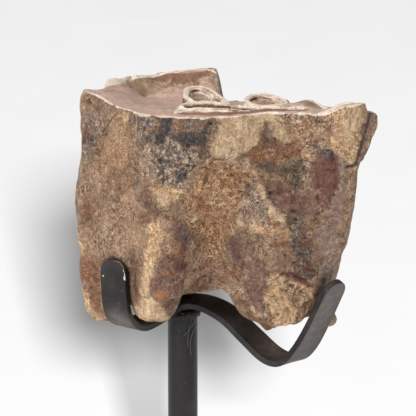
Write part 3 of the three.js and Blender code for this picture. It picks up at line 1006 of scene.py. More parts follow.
FLAKES = (
    Flake(((15.6, 44.9), (18.8, 44.9), (20.2, 42.6), (21.7, 40.3), (21.3, 39.1), (19.2, 40.3), (16.6, 42.3),
           (15.2, 42.6)), 0.3),
    Flake(((16.4, 41.3), (19.0, 39.7), (22.1, 38.9), (23.9, 39.9), (24.5, 37.7), (22.5, 35.6), (18.0, 34.6),
           (14.0, 35.4), (13.1, 36.9), (15.2, 38.5)), -0.3),
    Flake(((15.6, 34.4), (21.1, 35.5), (25.2, 34.4), (26.2, 31.4), (24.6, 29.1), (21.1, 29.8), (17.6, 30.2),
           (15.4, 32.6)), -0.35, 0.35),
    Flake(((27.6, 37.4), (30.6, 37.5), (31.7, 34.5), (31.7, 29.6), (29.5, 27.8), (27.8, 30.3), (27.0, 34.0)),
          -0.35),
    Flake(((12.8, 28.7), (15.4, 29.9), (16.6, 28.1), (18.7, 25.0), (16.4, 23.9), (13.6, 25.1), (11.9, 26.6)),
          0.3),
    Flake(((17.6, 29.0), (21.1, 30.2), (25.0, 28.8), (26.7, 26.0), (24.2, 24.3), (20.5, 24.5), (18.9, 26.2)),
          -0.3, 0.25),
    Flake(((-7.2, 44.6), (-1.3, 44.9), (-2.3, 40.8), (-4.8, 38.3), (-7.2, 39.2), (-8.0, 41.7)), 0.22, 0.15),
    Flake(((-0.3, 40.7), (3.8, 41.6), (4.8, 44.1), (7.0, 43.5), (6.6, 40.8), (5.0, 37.8), (3.8, 36.1),
           (2.1, 38.9)), 0.22, 0.15),
    Flake(((-5.1, 13.4), (-2.0, 14.5), (0.7, 12.9), (0.8, 8.6), (-0.8, 3.4), (-4.6, 3.1), (-6.0, 7.0),
           (-5.3, 10.5)), 0.3),
    Flake(((24.5, 37.5), (25.9, 37.6), (26.2, 36.3), (24.9, 35.7), (24.1, 36.5)), 0.35),
    Flake(((-20.8, 44.8), (-13.1, 44.9), (-11.0, 43.9), (-13.1, 42.0), (-15.7, 38.8), (-17.0, 34.0),
           (-19.0, 30.5), (-24.0, 31.0)), 0.25),
    Flake(((17.0, 11.5), (22.0, 11.2), (26.4, 7.4), (27.6, 3.0), (24.0, 0.5), (18.0, 0.0), (15.6, 5.0)),
          -0.35, 0.5),
)

# The crack that parts the sliver from the wall: (x, height) corners.
SPLIT = ((38.5, 46.5), (38.1, 43.5), (37.0, 39.4), (36.2, 36.6), (35.6, 34.2))

# Narrow cracks of the cheek wall: half the width, and (x, height) corners.
HAIRS = (
    (0.28, SPLIT),
    (0.16, ((35.5, 34.2), (34.9, 33.7), (34.2, 34.0))),
    (0.06, ((-3.9, 33.9), (-3.7, 32.0), (-3.9, 29.8))),
    (0.05, ((1.7, 35.4), (1.1, 33.4), (0.7, 31.4))),
    (0.05, ((5.2, 32.7), (4.6, 31.2), (4.2, 29.7))),
    (0.06, ((-13.9, 42.2), (-15.3, 39.7), (-16.4, 37.5))),
    (0.05, ((7.4, 35.8), (8.9, 35.5), (10.5, 36.4))),
    (0.05, ((19.8, 43.7), (21.5, 41.6))),
)

# How light an outlined patch is beside the rest of its stain.
DEEP, PLAIN, PALE = 0.7, 1.0, 1.35

# Lighter and darker ground of the cheek wall under its stains, in the form of CHEEK_STAINS: mostly the
# wall's own tone, and in the groove beside the root pillar a painted shadow.
CHEEK_GROUND_AND_SHADE = (
    (1, PALE, ((124, 226), (146, 222), (150, 240), (146, 262), (128, 266), (118, 252))),
    (1, PALE, ((156, 226), (172, 224), (176, 240), (180, 256), (168, 258), (158, 256), (154, 240))),
    (1, DEEP, ((226, 228), (256, 230), (262, 240), (262, 262), (250, 262), (236, 250), (226, 244))),
    (1, DEEP, ((272, 250), (296, 252), (300, 262), (300, 276), (286, 272), (274, 262))),
    (1, PALE, ((238, 158), (256, 162), (262, 172), (256, 184), (244, 190), (236, 180), (234, 166))),
    (1, DEEP, ((300, 168), (316, 176), (318, 196), (308, 200), (298, 192))),
    # Painted shadow in the groove beside the root pillar.
    (1, DEEP, ((184, 250), (196, 250), (198, 262), (188, 266))),
    (1, DEEP, ((162, 202), (186, 204), (190, 218), (176, 222), (160, 214))),
)

# Stains of the cheek wall: the share covered, how light the stain is, and the outline's corners in pixels
# of the view, to the right and down.
CHEEK_STAINS = {
    Stain.ASH: (
        (0.85, PLAIN, ((81, 112), (96, 112), (112, 116), (105, 128), (101, 138), (97, 150), (90, 160),
         (82, 165), (80, 150))),
        (0.7, PLAIN, ((131, 124), (138, 120), (144, 126), (146, 138), (149, 150), (152, 165), (155, 178),
         (150, 186), (145, 176), (142, 164), (136, 150), (133, 138))),
        (0.95, DEEP, ((184, 118), (196, 118), (203, 120), (202, 127), (197, 131), (190, 132), (186, 129),
         (182, 128))),
        (0.5, PALE, ((128, 190), (138, 192), (141, 204), (136, 214), (128, 208), (124, 198))),
        (0.95, PLAIN, ((247, 189), (258, 186), (262, 190), (266, 204), (270, 214), (268, 224), (258, 222),
         (250, 222), (243, 215), (240, 205), (245, 198))),
    ),
    Stain.SLATE: (
        (0.9, DEEP, ((81, 133), (89, 130), (95, 136), (92, 142), (84, 144), (80, 141))),
        (0.6, PALE, ((84, 118), (92, 115), (98, 119), (95, 125), (86, 125))),
        (0.4, PLAIN, ((104, 112), (112, 111), (114, 116), (108, 121), (103, 118))),
        (0.75, PALE, ((131, 117), (140, 115), (150, 117), (156, 122), (150, 130), (143, 136), (137, 129),
         (130, 124))),
        (0.7, DEEP, ((180, 228), (187, 230), (189, 242), (184, 246), (179, 238))),
        (0.7, DEEP, ((236, 248), (241, 250), (246, 262), (243, 270), (238, 262))),
        (0.8, DEEP, ((244, 186), (250, 183), (250, 189), (245, 194), (242, 192))),
        (0.95, PLAIN, ((285, 215), (296, 213), (304, 216), (304, 224), (294, 225), (286, 221))),
        (0.9, PLAIN, ((291, 228), (300, 226), (309, 232), (314, 246), (312, 262), (313, 276), (305, 276),
         (298, 262), (291, 250), (290, 238))),
        (0.7, DEEP, ((311, 116), (321, 117), (320, 121), (313, 123))),
        (0.8, DEEP, ((313, 143), (318, 142), (321, 147), (317, 151), (313, 148))),
        (1, PLAIN, ((318, 151), (333, 150), (335, 158), (330, 160), (322, 160), (318, 157))),
    ),
    Stain.OCHRE: (
        (0.7, PLAIN, ((113, 117), (120, 118), (127, 127), (131, 138), (130, 155), (131, 170), (133, 182),
         (128, 188), (120, 180), (112, 172), (104, 180), (99, 170), (98, 155), (102, 138), (107, 127))),
        (0.75, PALE, ((269, 214), (275, 216), (278, 224), (274, 232), (268, 236), (266, 226))),
        (0.95, PLAIN, ((279, 227), (286, 228), (290, 234), (289, 240), (282, 239), (278, 233))),
        (1, PALE, ((303, 151), (310, 151), (311, 156), (307, 159), (303, 157))),
        (0.5, PLAIN, ((334, 122), (342, 126), (348, 142), (353, 154), (349, 163), (342, 157), (334, 146))),
    ),
    Stain.CREAM: (
        (0.45, PLAIN, ((116, 131), (123, 128), (128, 134), (127, 145), (120, 147), (114, 140))),
        (0.9, PLAIN, ((157, 194), (163, 195), (168, 203), (166, 209), (160, 205))),
        (0.9, PALE, ((146, 262), (151, 264), (150, 280), (148, 292), (143, 298), (144, 282))),
        (0.9, PALE, ((136, 308), (142, 300), (149, 298), (157, 302), (163, 309), (170, 318), (169, 321),
         (150, 321), (140, 318))),
        (1, PLAIN, ((259, 187), (263, 189), (267, 199), (272, 206), (278, 213), (283, 219), (280, 221),
         (273, 216), (268, 212), (264, 203), (261, 195))),
        (0.85, PLAIN, ((239, 220), (247, 224), (253, 226), (254, 233), (247, 231), (242, 227))),
        (0.8, PLAIN, ((250, 306), (256, 309), (264, 314), (267, 318), (259, 317), (252, 312))),
        (1, PLAIN, ((217, 118), (226, 116), (245, 114), (262, 113), (273, 113), (280, 122), (287, 131),
         (290, 142), (284, 143), (279, 141), (275, 136), (273, 127), (267, 121), (262, 124), (258, 133),
         (256, 143), (248, 149), (243, 152), (236, 157), (228, 160), (220, 158), (214, 154), (211, 146),
         (214, 136), (219, 130), (220, 122))),
        (0.8, PLAIN, ((344, 106), (354, 104), (363, 107), (363, 120), (360, 132), (354, 140), (346, 138),
         (341, 126))),
    ),
    Stain.RUST: (
        (0.6, PALE, ((99, 150), (105, 146), (110, 152), (112, 164), (108, 176), (102, 182), (97, 172))),
        (0.8, PLAIN, ((139, 214), (146, 211), (150, 215), (148, 224), (141, 226), (137, 221))),
        (1, PALE, ((178, 252), (184, 251), (185, 256), (182, 260), (178, 257))),
        (1, PALE, ((165, 271), (172, 270), (174, 274), (168, 277), (164, 275))),
        (1, PALE, ((156, 295), (163, 293), (170, 295), (168, 300), (160, 303), (155, 300))),
        (0.95, PLAIN, ((83, 200), (92, 200), (98, 208), (94, 216), (90, 223), (82, 223), (83, 212))),
        (0.9, PLAIN, ((82, 256), (90, 257), (99, 268), (101, 290), (101, 312), (94, 308), (88, 296),
         (82, 284), (80, 270))),
        (0.75, DEEP, ((131, 250), (138, 256), (140, 268), (139, 284), (141, 300), (136, 304), (131, 298),
         (131, 278), (129, 262))),
        (0.6, PLAIN, ((196, 196), (206, 190), (214, 196), (212, 206), (202, 210), (196, 204))),
        (0.6, DEEP, ((190, 228), (198, 232), (202, 246), (196, 252), (190, 244))),
        (0.6, DEEP, ((190, 282), (200, 280), (212, 284), (211, 292), (196, 293), (188, 290))),
        (0.9, PLAIN, ((231, 262), (238, 266), (242, 275), (241, 284), (234, 280), (229, 270))),
        (0.8, PLAIN, ((274, 238), (284, 239), (290, 244), (287, 251), (277, 250), (272, 244))),
        (0.9, DEEP, ((236, 298), (246, 304), (252, 312), (262, 318), (270, 326), (273, 333), (264, 331),
         (254, 322), (244, 312))),
        (1, PLAIN, ((243, 153), (249, 148), (256, 143), (261, 139), (268, 134), (277, 139), (285, 144),
         (291, 141), (298, 138), (303, 146), (302, 156), (294, 160), (282, 162), (270, 163), (256, 163),
         (248, 158))),
    ),
    Stain.BONE: (
        (0.9, PLAIN, ((119, 117), (124, 111), (131, 112), (129, 120), (126, 127), (120, 123))),
        (0.7, DEEP, ((79, 160), (86, 153), (90, 158), (88, 166), (82, 172), (79, 170))),
        (0.8, PALE, ((146, 150), (154, 147), (161, 149), (162, 157), (157, 163), (149, 160))),
        (0.85, PLAIN, ((155, 187), (170, 185), (184, 188), (182, 198), (172, 203), (160, 200), (150, 192))),
        (0.85, PLAIN, ((150, 222), (160, 226), (165, 240), (163, 250), (156, 258), (152, 272), (149, 288),
         (147, 300), (141, 306), (139, 298), (142, 280), (143, 262), (146, 245))),
        (0.8, PALE, ((77, 226), (82, 230), (82, 250), (80, 262), (82, 284), (88, 297), (93, 309), (100, 318),
         (105, 325), (96, 323), (88, 313), (80, 300), (76, 285), (76, 250))),
        (0.6, PLAIN, ((251, 219), (262, 222), (268, 226), (266, 236), (258, 240), (252, 232))),
        (1, PLAIN, ((273, 275), (287, 273), (298, 280), (309, 287), (313, 294), (318, 298), (315, 311),
         (306, 321), (297, 325), (281, 329), (275, 324), (268, 308), (267, 296), (269, 283))),
        (1, PLAIN, ((330, 113), (338, 106), (350, 104), (362, 106), (366, 110), (364, 121), (361, 131),
         (359, 145), (357, 158), (351, 165), (344, 160), (336, 156), (333, 150), (330, 140), (334, 130),
         (329, 123), (322, 117))),
    ),
    Stain.COCOA: (
        (0.95, DEEP, ((133, 163), (138, 158), (142, 166), (145, 176), (144, 184), (140, 189), (134, 187),
         (132, 175))),
        (0.85, DEEP, ((173, 117), (180, 117), (184, 119), (181, 126), (176, 133), (171, 131), (172, 124))),
        (0.5, PLAIN, ((82, 195), (100, 194), (104, 206), (100, 222), (94, 226), (92, 214), (84, 206))),
        (0.7, PALE, ((346, 166), (357, 166), (355, 190), (352, 215), (349, 238), (343, 238), (343, 215),
         (346, 190))),
        (0.85, PLAIN, ((286, 288), (296, 286), (305, 290), (308, 300), (304, 308), (295, 309), (287, 300))),
        (0.95, PALE, ((274, 113), (300, 114), (330, 116), (333, 128), (330, 140), (326, 148), (316, 150),
         (308, 152), (303, 146), (298, 138), (290, 140), (287, 130), (280, 122))),
    ),
    Stain.NET: (
        (0.85, PLAIN, ((136, 117), (144, 115), (158, 116), (157, 122), (152, 128), (143, 134), (136, 130))),
        (1, PLAIN, ((152, 148), (160, 144), (168, 138), (172, 130), (178, 134), (179, 142), (190, 148),
         (198, 150), (199, 160), (193, 168), (188, 178), (184, 188), (174, 187), (163, 184), (155, 176),
         (151, 166), (150, 156))),
    ),
    Stain.MANGANESE: (
        (0.8, PLAIN, ((143, 138), (149, 132), (155, 126), (158, 130), (154, 138), (148, 145), (143, 144))),
        (0.95, DEEP, ((158, 116), (165, 115), (172, 117), (172, 128), (168, 137), (162, 143), (156, 145),
         (156, 136), (159, 126))),
        (0.75, DEEP, ((182, 132), (185, 124), (188, 120), (190, 121), (187, 128), (184, 134))),
        (0.9, DEEP, ((179, 134), (186, 131), (193, 133), (201, 130), (204, 119), (211, 119), (213, 126),
         (210, 134), (206, 138), (204, 148), (203, 158), (200, 157), (199, 148), (190, 147), (182, 145),
         (177, 141))),
        (0.8, PLAIN, ((157, 157), (163, 158), (164, 164), (158, 165), (155, 161))),
        (0.75, PLAIN, ((178, 172), (184, 168), (190, 163), (193, 166), (188, 175), (184, 184), (178, 183),
         (174, 178))),
        (0.9, DEEP, ((261, 163), (270, 164), (273, 169), (270, 172), (263, 170))),
        (0.36, DEEP, ((262, 164), (280, 166), (296, 166), (304, 174), (302, 188), (290, 187), (276, 174),
         (264, 170))),
    ),
    Stain.MAUVE: (
        (0.8, PLAIN, ((213, 119), (218, 119), (218, 128), (215, 136), (212, 134), (214, 126))),
        (0.95, PLAIN, ((334, 156), (340, 155), (345, 164), (345, 186), (343, 205), (340, 225), (333, 226),
         (333, 205), (336, 188), (337, 172))),
        (0.6, PLAIN, ((315, 218), (330, 216), (340, 228), (342, 250), (338, 280), (326, 292), (318, 285),
         (314, 265), (315, 240))),
        (0.9, DEEP, ((367, 112), (374, 109), (378, 114), (376, 124), (370, 136), (365, 150), (364, 165),
         (358, 165), (359, 152), (362, 138), (365, 124))),
    ),
    Stain.PLUM: (
        (0.95, PLAIN, ((140, 192), (147, 189), (151, 198), (154, 206), (160, 210), (168, 213), (173, 219),
         (164, 218), (152, 213), (145, 207), (139, 200))),
        (1, PLAIN, ((174, 223), (182, 219), (188, 225), (192, 237), (189, 248), (182, 245), (176, 241),
         (173, 232))),
        (1, PLAIN, ((160, 262), (167, 256), (178, 258), (186, 264), (187, 272), (182, 285), (178, 297),
         (174, 307), (171, 318), (166, 311), (160, 303), (152, 299), (150, 290), (152, 278), (156, 270))),
        (0.9, DEEP, ((229, 240), (238, 236), (244, 246), (246, 258), (244, 268), (238, 268), (231, 258),
         (227, 248))),
        (0.9, PLAIN, ((246, 262), (256, 256), (266, 262), (270, 275), (266, 285), (264, 300), (266, 312),
         (258, 311), (248, 300), (243, 288), (248, 275))),
        (0.95, PLAIN, ((265, 185), (275, 187), (290, 188), (300, 193), (310, 196), (318, 206), (317, 216),
         (300, 216), (285, 217), (277, 209), (270, 200), (265, 193))),
        (0.9, DEEP, ((296, 275), (304, 277), (312, 284), (314, 290), (308, 287), (300, 281))),
        (0.7, DEEP, ((263, 138), (272, 137), (283, 144), (286, 152), (278, 156), (270, 149), (262, 145))),
        (0.95, DEEP, ((262, 126), (268, 122), (272, 128), (274, 137), (268, 139), (261, 136))),
        (0.62, PLAIN, ((308, 160), (318, 158), (318, 180), (322, 190), (334, 190), (336, 204), (324, 212),
         (312, 204), (306, 186))),
    ),
    Stain.BLOOD: (
        (0.95, DEEP, ((176, 262), (184, 261), (187, 266), (182, 270), (176, 268))),
        (0.8, DEEP, ((274, 183), (283, 184), (286, 190), (280, 196), (273, 192))),
        (0.8, PALE, ((285, 193), (298, 194), (303, 200), (294, 205), (286, 202))),
        (1, PLAIN, ((276, 272), (286, 269), (293, 272), (301, 275), (307, 280), (313, 287), (308, 288),
         (299, 283), (291, 278), (281, 276))),
        (0.55, PLAIN, ((247, 152), (256, 148), (266, 151), (273, 156), (268, 160), (256, 160), (249, 157))),
        (0.92, PLAIN, ((317, 158), (333, 155), (340, 162), (340, 176), (336, 190), (328, 198), (318, 194),
         (314, 180), (314, 166))),
        (0.55, PLAIN, ((316, 186), (332, 188), (334, 202), (326, 210), (316, 202))),
        (0.6, PLAIN, ((318, 184), (330, 184), (332, 198), (325, 204), (318, 198))),
    ),
    Stain.MOSS: (
        (0.85, PALE, ((98, 232), (108, 226), (116, 232), (117, 244), (110, 252), (100, 256), (94, 248),
         (95, 240))),
        (0.6, PALE, ((328, 256), (336, 254), (337, 268), (331, 276), (327, 268))),
        (1, DEEP, ((256, 162), (266, 164), (280, 163), (292, 160), (305, 160), (308, 168), (304, 178),
         (301, 190), (294, 191), (288, 181), (278, 176), (268, 171), (258, 168))),
    ),
    Stain.GOLD: (
        (0.95, PLAIN, ((186, 200), (195, 180), (205, 166), (215, 160), (225, 164), (238, 170), (250, 178),
         (247, 190), (243, 200), (236, 215), (240, 232), (232, 245), (222, 255), (205, 262), (195, 250),
         (192, 235), (188, 218))),
    ),
    Stain.SAND: (
        (0.7, PLAIN, ((195, 262), (215, 256), (235, 262), (240, 275), (232, 288), (215, 289), (195, 290),
         (188, 285))),
        (0.6, PALE, ((313, 232), (321, 234), (323, 255), (320, 280), (313, 276), (315, 255))),
    ),
    Stain.EMBER: (
        (0.8, PLAIN, ((176, 250), (185, 248), (188, 256), (182, 262), (176, 258))),
        (0.8, PALE, ((163, 270), (172, 268), (176, 274), (168, 279), (162, 276))),
        (0.8, PLAIN, ((155, 293), (163, 290), (171, 293), (172, 300), (162, 304), (154, 300))),
        (0.5, PLAIN, ((232, 264), (239, 266), (243, 275), (240, 283), (234, 279), (230, 271))),
        (0.6, PLAIN, ((254, 147), (266, 149), (273, 155), (270, 161), (258, 160), (252, 154))),
        (0.55, PLAIN, ((282, 226), (289, 227), (291, 240), (287, 246), (281, 238))),
        (0.55, PLAIN, ((86, 205), (92, 204), (96, 210), (92, 218), (85, 216))),
        (0.55, PLAIN, ((84, 264), (92, 268), (98, 284), (94, 296), (86, 286))),
        (0.5, PLAIN, ((197, 196), (204, 192), (212, 198), (208, 206), (200, 204))),
        (0.5, PLAIN, ((205, 222), (214, 220), (216, 230), (208, 236), (202, 230))),
    ),
}

# Stains of the grinding surface: (x, y, half sizes, turn in degrees, share covered).
CROWN_STAINS = {
    Stain.SAND: (
        (2.6, 0.6, 1.2, 1.8, 0, 0.8), (15.6, -6.2, 1.6, 1.2, 0, 0.6), (14.0, 6.0, 6.0, 6.0, 0, 0.4)),
    Stain.CREAM: ((34.1, -19.9, 3.4, 2.2, 0, 0.9), (30.6, -18.6, 2.6, 2.0, 0, 0.6)),
    Stain.BONE: ((24.0, 8.0, 5.0, 5.0, 0, 0.35),),
    Stain.GOLD: ((-0.3, -16.7, 1.6, 0.9, 0, 1.0), (25.3, -12.2, 2.6, 1.3, -30, 0.5)),
    Stain.OCHRE: (
        (24.4, -12.6, 1.9, 1.4, -25, 0.9), (36.2, -19.6, 1.5, 1.0, 0, 0.6), (30.5, -17.0, 1.6, 1.0, 0, 0.4)),
    Stain.RUST: (
        (-14.5, 0.5, 3.4, 4.5, -20, 0.42), (-7.0, -9.0, 4.0, 3.0, 20, 0.36),
        (9.9, -17.2, 11.4, 1.5, -1, 0.95), (21.1, -17.8, 4.6, 0.9, -4, 0.8),
        (-5.0, 16.6, 5.0, 0.7, 8, 0.75), (3.5, 18.0, 5.0, 0.9, 12, 0.7), (1.5, 16.4, 7.0, 2.0, 8, 0.42),
        (18.0, 4.0, 5.0, 4.0, -40, 0.45), (27.6, -14.6, 2.4, 1.2, -30, 0.5)),
    Stain.COCOA: (
        (3.6, -1.5, 2.2, 3.6, -30, 0.9), (6.6, -5.6, 1.6, 2.0, 20, 0.8), (6.4, 17.0, 1.2, 2.2, 0, 0.5),
        (-7.6, 13.6, 3.4, 1.6, 20, 0.9), (-1.0, 15.2, 5.0, 1.4, 6, 0.4), (17.4, -9.2, 2.6, 2.8, -30, 0.9),
        (5.0, -12.8, 5.0, 1.0, 0, 0.8), (13.6, -15.0, 5.0, 0.9, -8, 0.5), (16.0, 10.0, 8.0, 6.0, -30, 0.6)),
    Stain.ASH: (
        (26.6, -15.0, 2.4, 1.3, -20, 0.9), (-3.0, 3.0, 6.0, 7.0, 20, 0.35), (17.8, -8.4, 1.9, 1.8, 0, 0.5)),
    Stain.MAUVE: ((-6.5, -2.0, 7.0, 8.0, 25, 0.45), (-3.0, -12.0, 3.0, 2.4, 0, 0.35)),
    Stain.MOSS: ((22.0, 14.0, 6.0, 4.0, -30, 0.4),),
}

# How much of the sides that face away each stain covers.
ELSEWHERE = {
    Stain.SAND: 0.34, Stain.CREAM: 0.22, Stain.BONE: 0.22, Stain.GOLD: 0.3, Stain.OCHRE: 0.16,
    Stain.RUST: 0.3, Stain.COCOA: 0.3, Stain.ASH: 0.3, Stain.MAUVE: 0.12, Stain.PLUM: 0.16,
    Stain.BLOOD: 0.02, Stain.MOSS: 0.2, Stain.SLATE: 0.12, Stain.NET: 0.1, Stain.MANGANESE: 0.14,
    Stain.EMBER: 0.0,
}

# Stains under the rim on the inner faces of the crown: the share and where the band starts and ends.
INNER_STAINS = {
    Stain.RUST: (0.6, 0.2, 1.2), Stain.OCHRE: (0.34, 0.6, 5.0), Stain.COCOA: (0.2, 1.0, 12.0),
    Stain.SAND: (0.36, 0.0, 12.0),
}

# Closed rings of enamel: outer corners (x, y) with the thickness of the enamel at each.
ENAMEL_RINGS = (
    ((0.1, -2.0, 1.4), (0.5, 2.6, 1.2), (2.7, 4.4, 0.9), (4.8, 3.7, 0.75), (6.3, 1.3, 0.7), (7.9, -2.4, 0.7),
     (9.2, -6.0, 0.7), (10.2, -9.0, 0.55), (7.6, -9.0, 0.55), (4.8, -8.0, 0.55), (2.1, -7.0, 0.6),
     (0.4, -4.6, 1.2)),
    ((12.7, -8.6, 1.05), (13.7, -5.6, 1.05), (15.8, -4.2, 1.0), (17.2, -4.2, 0.9), (19.2, -5.6, 0.8),
     (20.9, -8.3, 0.75), (21.9, -11.4, 0.7), (20.1, -14.2, 0.7), (16.6, -14.4, 0.8), (13.9, -12.4, 1.0)),
)

# Open bands of enamel: corners (x, y) with half the band's width at each.
ENAMEL_BANDS = (
    ((-1.3, -17.2, 0.4), (-0.5, -14.6, 0.6), (0.9, -12.0, 0.7), (2.9, -10.7, 0.65), (6.8, -10.6, 0.6),
     (10.5, -11.0, 0.6), (13.4, -12.9, 0.55), (16.4, -15.0, 0.5), (21.1, -16.4, 0.45), (25.4, -17.1, 0.4)),
    ((-1.3, -17.2, 0.4), (1.3, -15.2, 0.4), (6.8, -14.8, 0.45), (11.9, -15.2, 0.45), (18.0, -15.8, 0.45),
     (25.4, -17.1, 0.4)),
    ((24.3, -11.6, 0.25), (26.7, -13.2, 0.25), (29.4, -16.6, 0.3)),
    ((28.2, -19.8, 0.5), (30.2, -18.6, 0.9), (32.0, -18.2, 0.9), (34.5, -17.9, 0.5)),
    ((-16.2, 3.6, 0.8), (-14.8, 6.8, 1.5), (-13.6, 9.8, 1.4), (-12.6, 12.0, 0.6)),
    ((-12.2, 12.6, 0.5), (-10.9, 14.0, 0.4), (-9.0, 15.1, 0.35), (-7.8, 16.0, 0.35), (-5.3, 17.3, 0.35),
     (-2.7, 17.7, 0.3), (-0.2, 18.6, 0.3), (2.4, 20.0, 0.35), (5.0, 20.0, 0.4), (6.6, 18.6, 0.3)),
)

# The rim of the far wall: (x, y, height) corners.
FAR_RIM = (
    (-8.7, 15.2, 43.2), (-7.8, 16.1, 43.0), (-5.3, 17.4, 43.1), (-2.7, 17.8, 43.5), (-0.2, 18.7, 43.7),
    (2.4, 20.2, 43.6), (5.0, 20.1, 43.8), (6.3, 18.7, 43.9), (7.1, 17.8, 43.6),
)

PITS = (
    Pit((4.9, -2.6), (2.2, 0.9), -8, 2.2),
    Pit((1.6, -6.9), (1.9, 0.5), -12, 0.9),
    Pit((17.9, -11.2), (1.8, 0.9), -22, 1.8),
    Pit((7.0, -12.9), (5.6, 0.55), -2, 3.0),
    Pit((-8.6, 12.8), (2.4, 1.4), 15, 0.5),
)

# The part of the crown's top that is polished by grinding.
WEAR_OUTLINE = (
    (-21.5, -2.6), (-17.0, -7.5), (-12.5, -16.5), (-6.0, -21.0), (4.0, -22.0), (14.0, -21.5), (25.0, -22.5),
    (39.0, -21.5), (39.0, -17.2), (31.8, -17.2), (29.9, -15.2), (25.6, -11.2), (22.6, -11.4), (21.2, -7.8),
    (17.4, -3.8), (13.6, -0.2), (8.8, 5.4), (7.9, 8.0), (8.0, 12.6), (7.6, 18.2), (5.2, 20.6), (2.0, 20.4),
    (-0.6, 19.2), (-3.0, 18.3), (-5.6, 17.8), (-8.2, 16.4), (-12.0, 14.4), (-15.6, 9.0), (-16.6, 3.0),
    (-19.8, 0.4),
)


@dataclass
class FossilTooth:
    """The tooth: the solid refined to a fine mesh, then carved, broken, roughened and stained."""

    finish: FossilFinish = field(default_factory=FossilFinish)
    voxel: float = 0.6
    soften_rounds: int = 9
    crest_hold: Pair = (0.35, 1.3)
    rub_rounds: int = 16
    rubbed_spots: tuple[tuple[Triple, float], ...] = (((-14.5, 8.0, 45.0), 4.5), ((-10.8, 13.6, 43.2), 4.6))
    split_back: float = -3.0
    matted_from: Pair = (12.5, 15.5)
    inner_wear: float = 0.9
    inner_light: float = 0.1
    parting: float = 0.4
    rim_half: float = 0.3
    crest_height: float = 37.0
    crest_angle: float = 38.0
    top_level: float = 37.5
    enamel_rise: float = 0.28
    band_edge: float = 0.16
    stain_fade: float = 1.5
    edge_weight: float = 0.06
    full_weight: float = 0.5
    worn_calm: float = 0.86
    inner_calm: float = 0.6
    matted_loss: float = 0.3
    split_fade: Pair = (1.2, 2.4)
    parting_fade: Pair = (1.0, 3.0)
    parting_foot: Pair = (-0.2, 1.0)
    fine_slope: Pair = (0.35, 0.3)
    fine_left: float = -4.0
    fine_back: float = 7.0
    fine_wall: float = -4.0
    wall_sway: Pair = (1.3, 0.35)
    view_sway: Pair = (1.5, 0.3)
    flake_edge: Pair = (-0.2, 0.3)
    flake_grain: float = 1.0
    top_facing: Pair = (0.25, 0.6)
    top_least: float = 0.3
    rim_uneven: Pair = (1.3, 0.9)
    wear_sway: Pair = (0.9, 0.25)
    wear_facing: Pair = (0.45, 0.7)
    wear_rise: float = 1.5
    wear_edge: Pair = (-0.2, 0.25)
    upright: Pair = (0.4, 0.65)
    inner_from: Pair = (4.0, 7.0)
    inner_height: Pair = (36.0, 38.0)
    crown_height: Pair = (28.0, 30.0)
    under_facing: Pair = (0.5, 0.8)
    under_bone: float = 0.6
    oval_fade: float = 0.69
    oval_power: float = 1.25
    band_fade: Pair = (0.6, 1.0)
    hair_fade: Pair = (0.4, 0.9)
    hollow_rounds: tuple[int, int] = (4, 22)
    shallow_span: Pair = (0.035, 0.2)
    deep_span: Pair = (0.12, 0.6)
    crest_span: Pair = (0.05, 0.2)
    worn_clean: float = 0.6
    spreads: tuple[tuple[Seed, float, float], ...] = ((Seed.SPREAD, 7.0, 0.42), (Seed.FINE_SPREAD, 2.6, 0.3))
    pocks: tuple[tuple[float, float, float, float], ...] = ((1.1, 0.3, 0.5, 0.8), (0.8, 0.22, 0.6, 0.85))
    lumps: tuple[Pair, ...] = ((5.5, 0.26), (2.6, 0.19), (1.2, 0.12))
    bulges: tuple[tuple[Triple, float, float], ...] = (
        ((30.9, -0.5, -5.4), 2.0, 2.7), ((31.5, 3.0, -4.5), 2.0, 1.0), ((-11.3, 14.2, 44.4), 1.6, -0.35),
        ((-13.8, 8.4, 44.0), 3.4, 0.7), ((-8.5, 15.4, 43.2), 3.6, 0.4))
    streak: Triple = (0.9, 8.0, 0.07)

    def build(self) -> Object:
        """Builds, carves and dresses the tooth.

        Returns:
            The finished piece.
        """
        tooth = copy_of_node("tooth", "fossil_tooth")
        crests = self._crests(tooth)
        self._part(tooth, self.parting)
        self._refine(tooth)
        self._soften(tooth, crests)
        self._part(tooth, -self.parting)
        calm = normals(tooth)
        self._carve_cheek(tooth, calm)
        signed = self._carve_crown(tooth, calm, crests)
        self._roughen(tooth, calm)
        self._mark(tooth, calm, signed)
        bpy.ops.object.shade_smooth()
        finish_piece(tooth, self.finish.material(), Slot.FOSSIL, "tooth")
        return tooth

    def _crests(self, tooth: Object) -> KDTree:
        """Finds the sharp edges round the grinding surface.

        Args:
            tooth: the merged solid.

        Returns:
            Points along those edges, in millimetres.
        """
        points = coordinates(tooth)
        sides: dict[tuple[int, int], list[Vector]] = {}
        for face in tooth.data.polygons:
            for key in face.edge_keys:
                sides.setdefault(key, []).append(face.normal)
        spots = []
        for (a, b), faces in sides.items():
            if len(faces) == 2 and min(points[a, 2], points[b, 2]) > self.crest_height:
                bend = math.degrees(faces[0].angle(faces[1], 0))
                if bend > self.crest_angle and max(n.z for n in faces) > 0.5:
                    spots += [points[a] + (points[b] - points[a]) * share for share in (0, 0.25, 0.5, 0.75)]
        for first, last in zip(FAR_RIM, FAR_RIM[1:]):
            spots += [Vector(first).lerp(Vector(last), share / 8) for share in range(8)]
        tree = KDTree(len(spots))
        for number, spot in enumerate(spots):
            tree.insert(spot, number)
        tree.balance()
        return tree

    def _part(self, tooth: Object, amount: float) -> None:
        """Moves the two sides of the split apart by amount, so that it stays open in the remesh.

        Args:
            tooth: the piece.
            amount: millimetres for each side.
        """
        points = coordinates(tooth)
        away, side = side_of_line(points[:, (0, 2)], np.array(SPLIT))
        foot = SPLIT[-1][1]
        share = 1 - smoothstep(away, *self.parting_fade)
        share *= smoothstep(points[:, 2] - foot, *self.parting_foot)
        points[:, 0] += amount * side * share * (points[:, 1] < self.split_back)
        place(tooth, points)

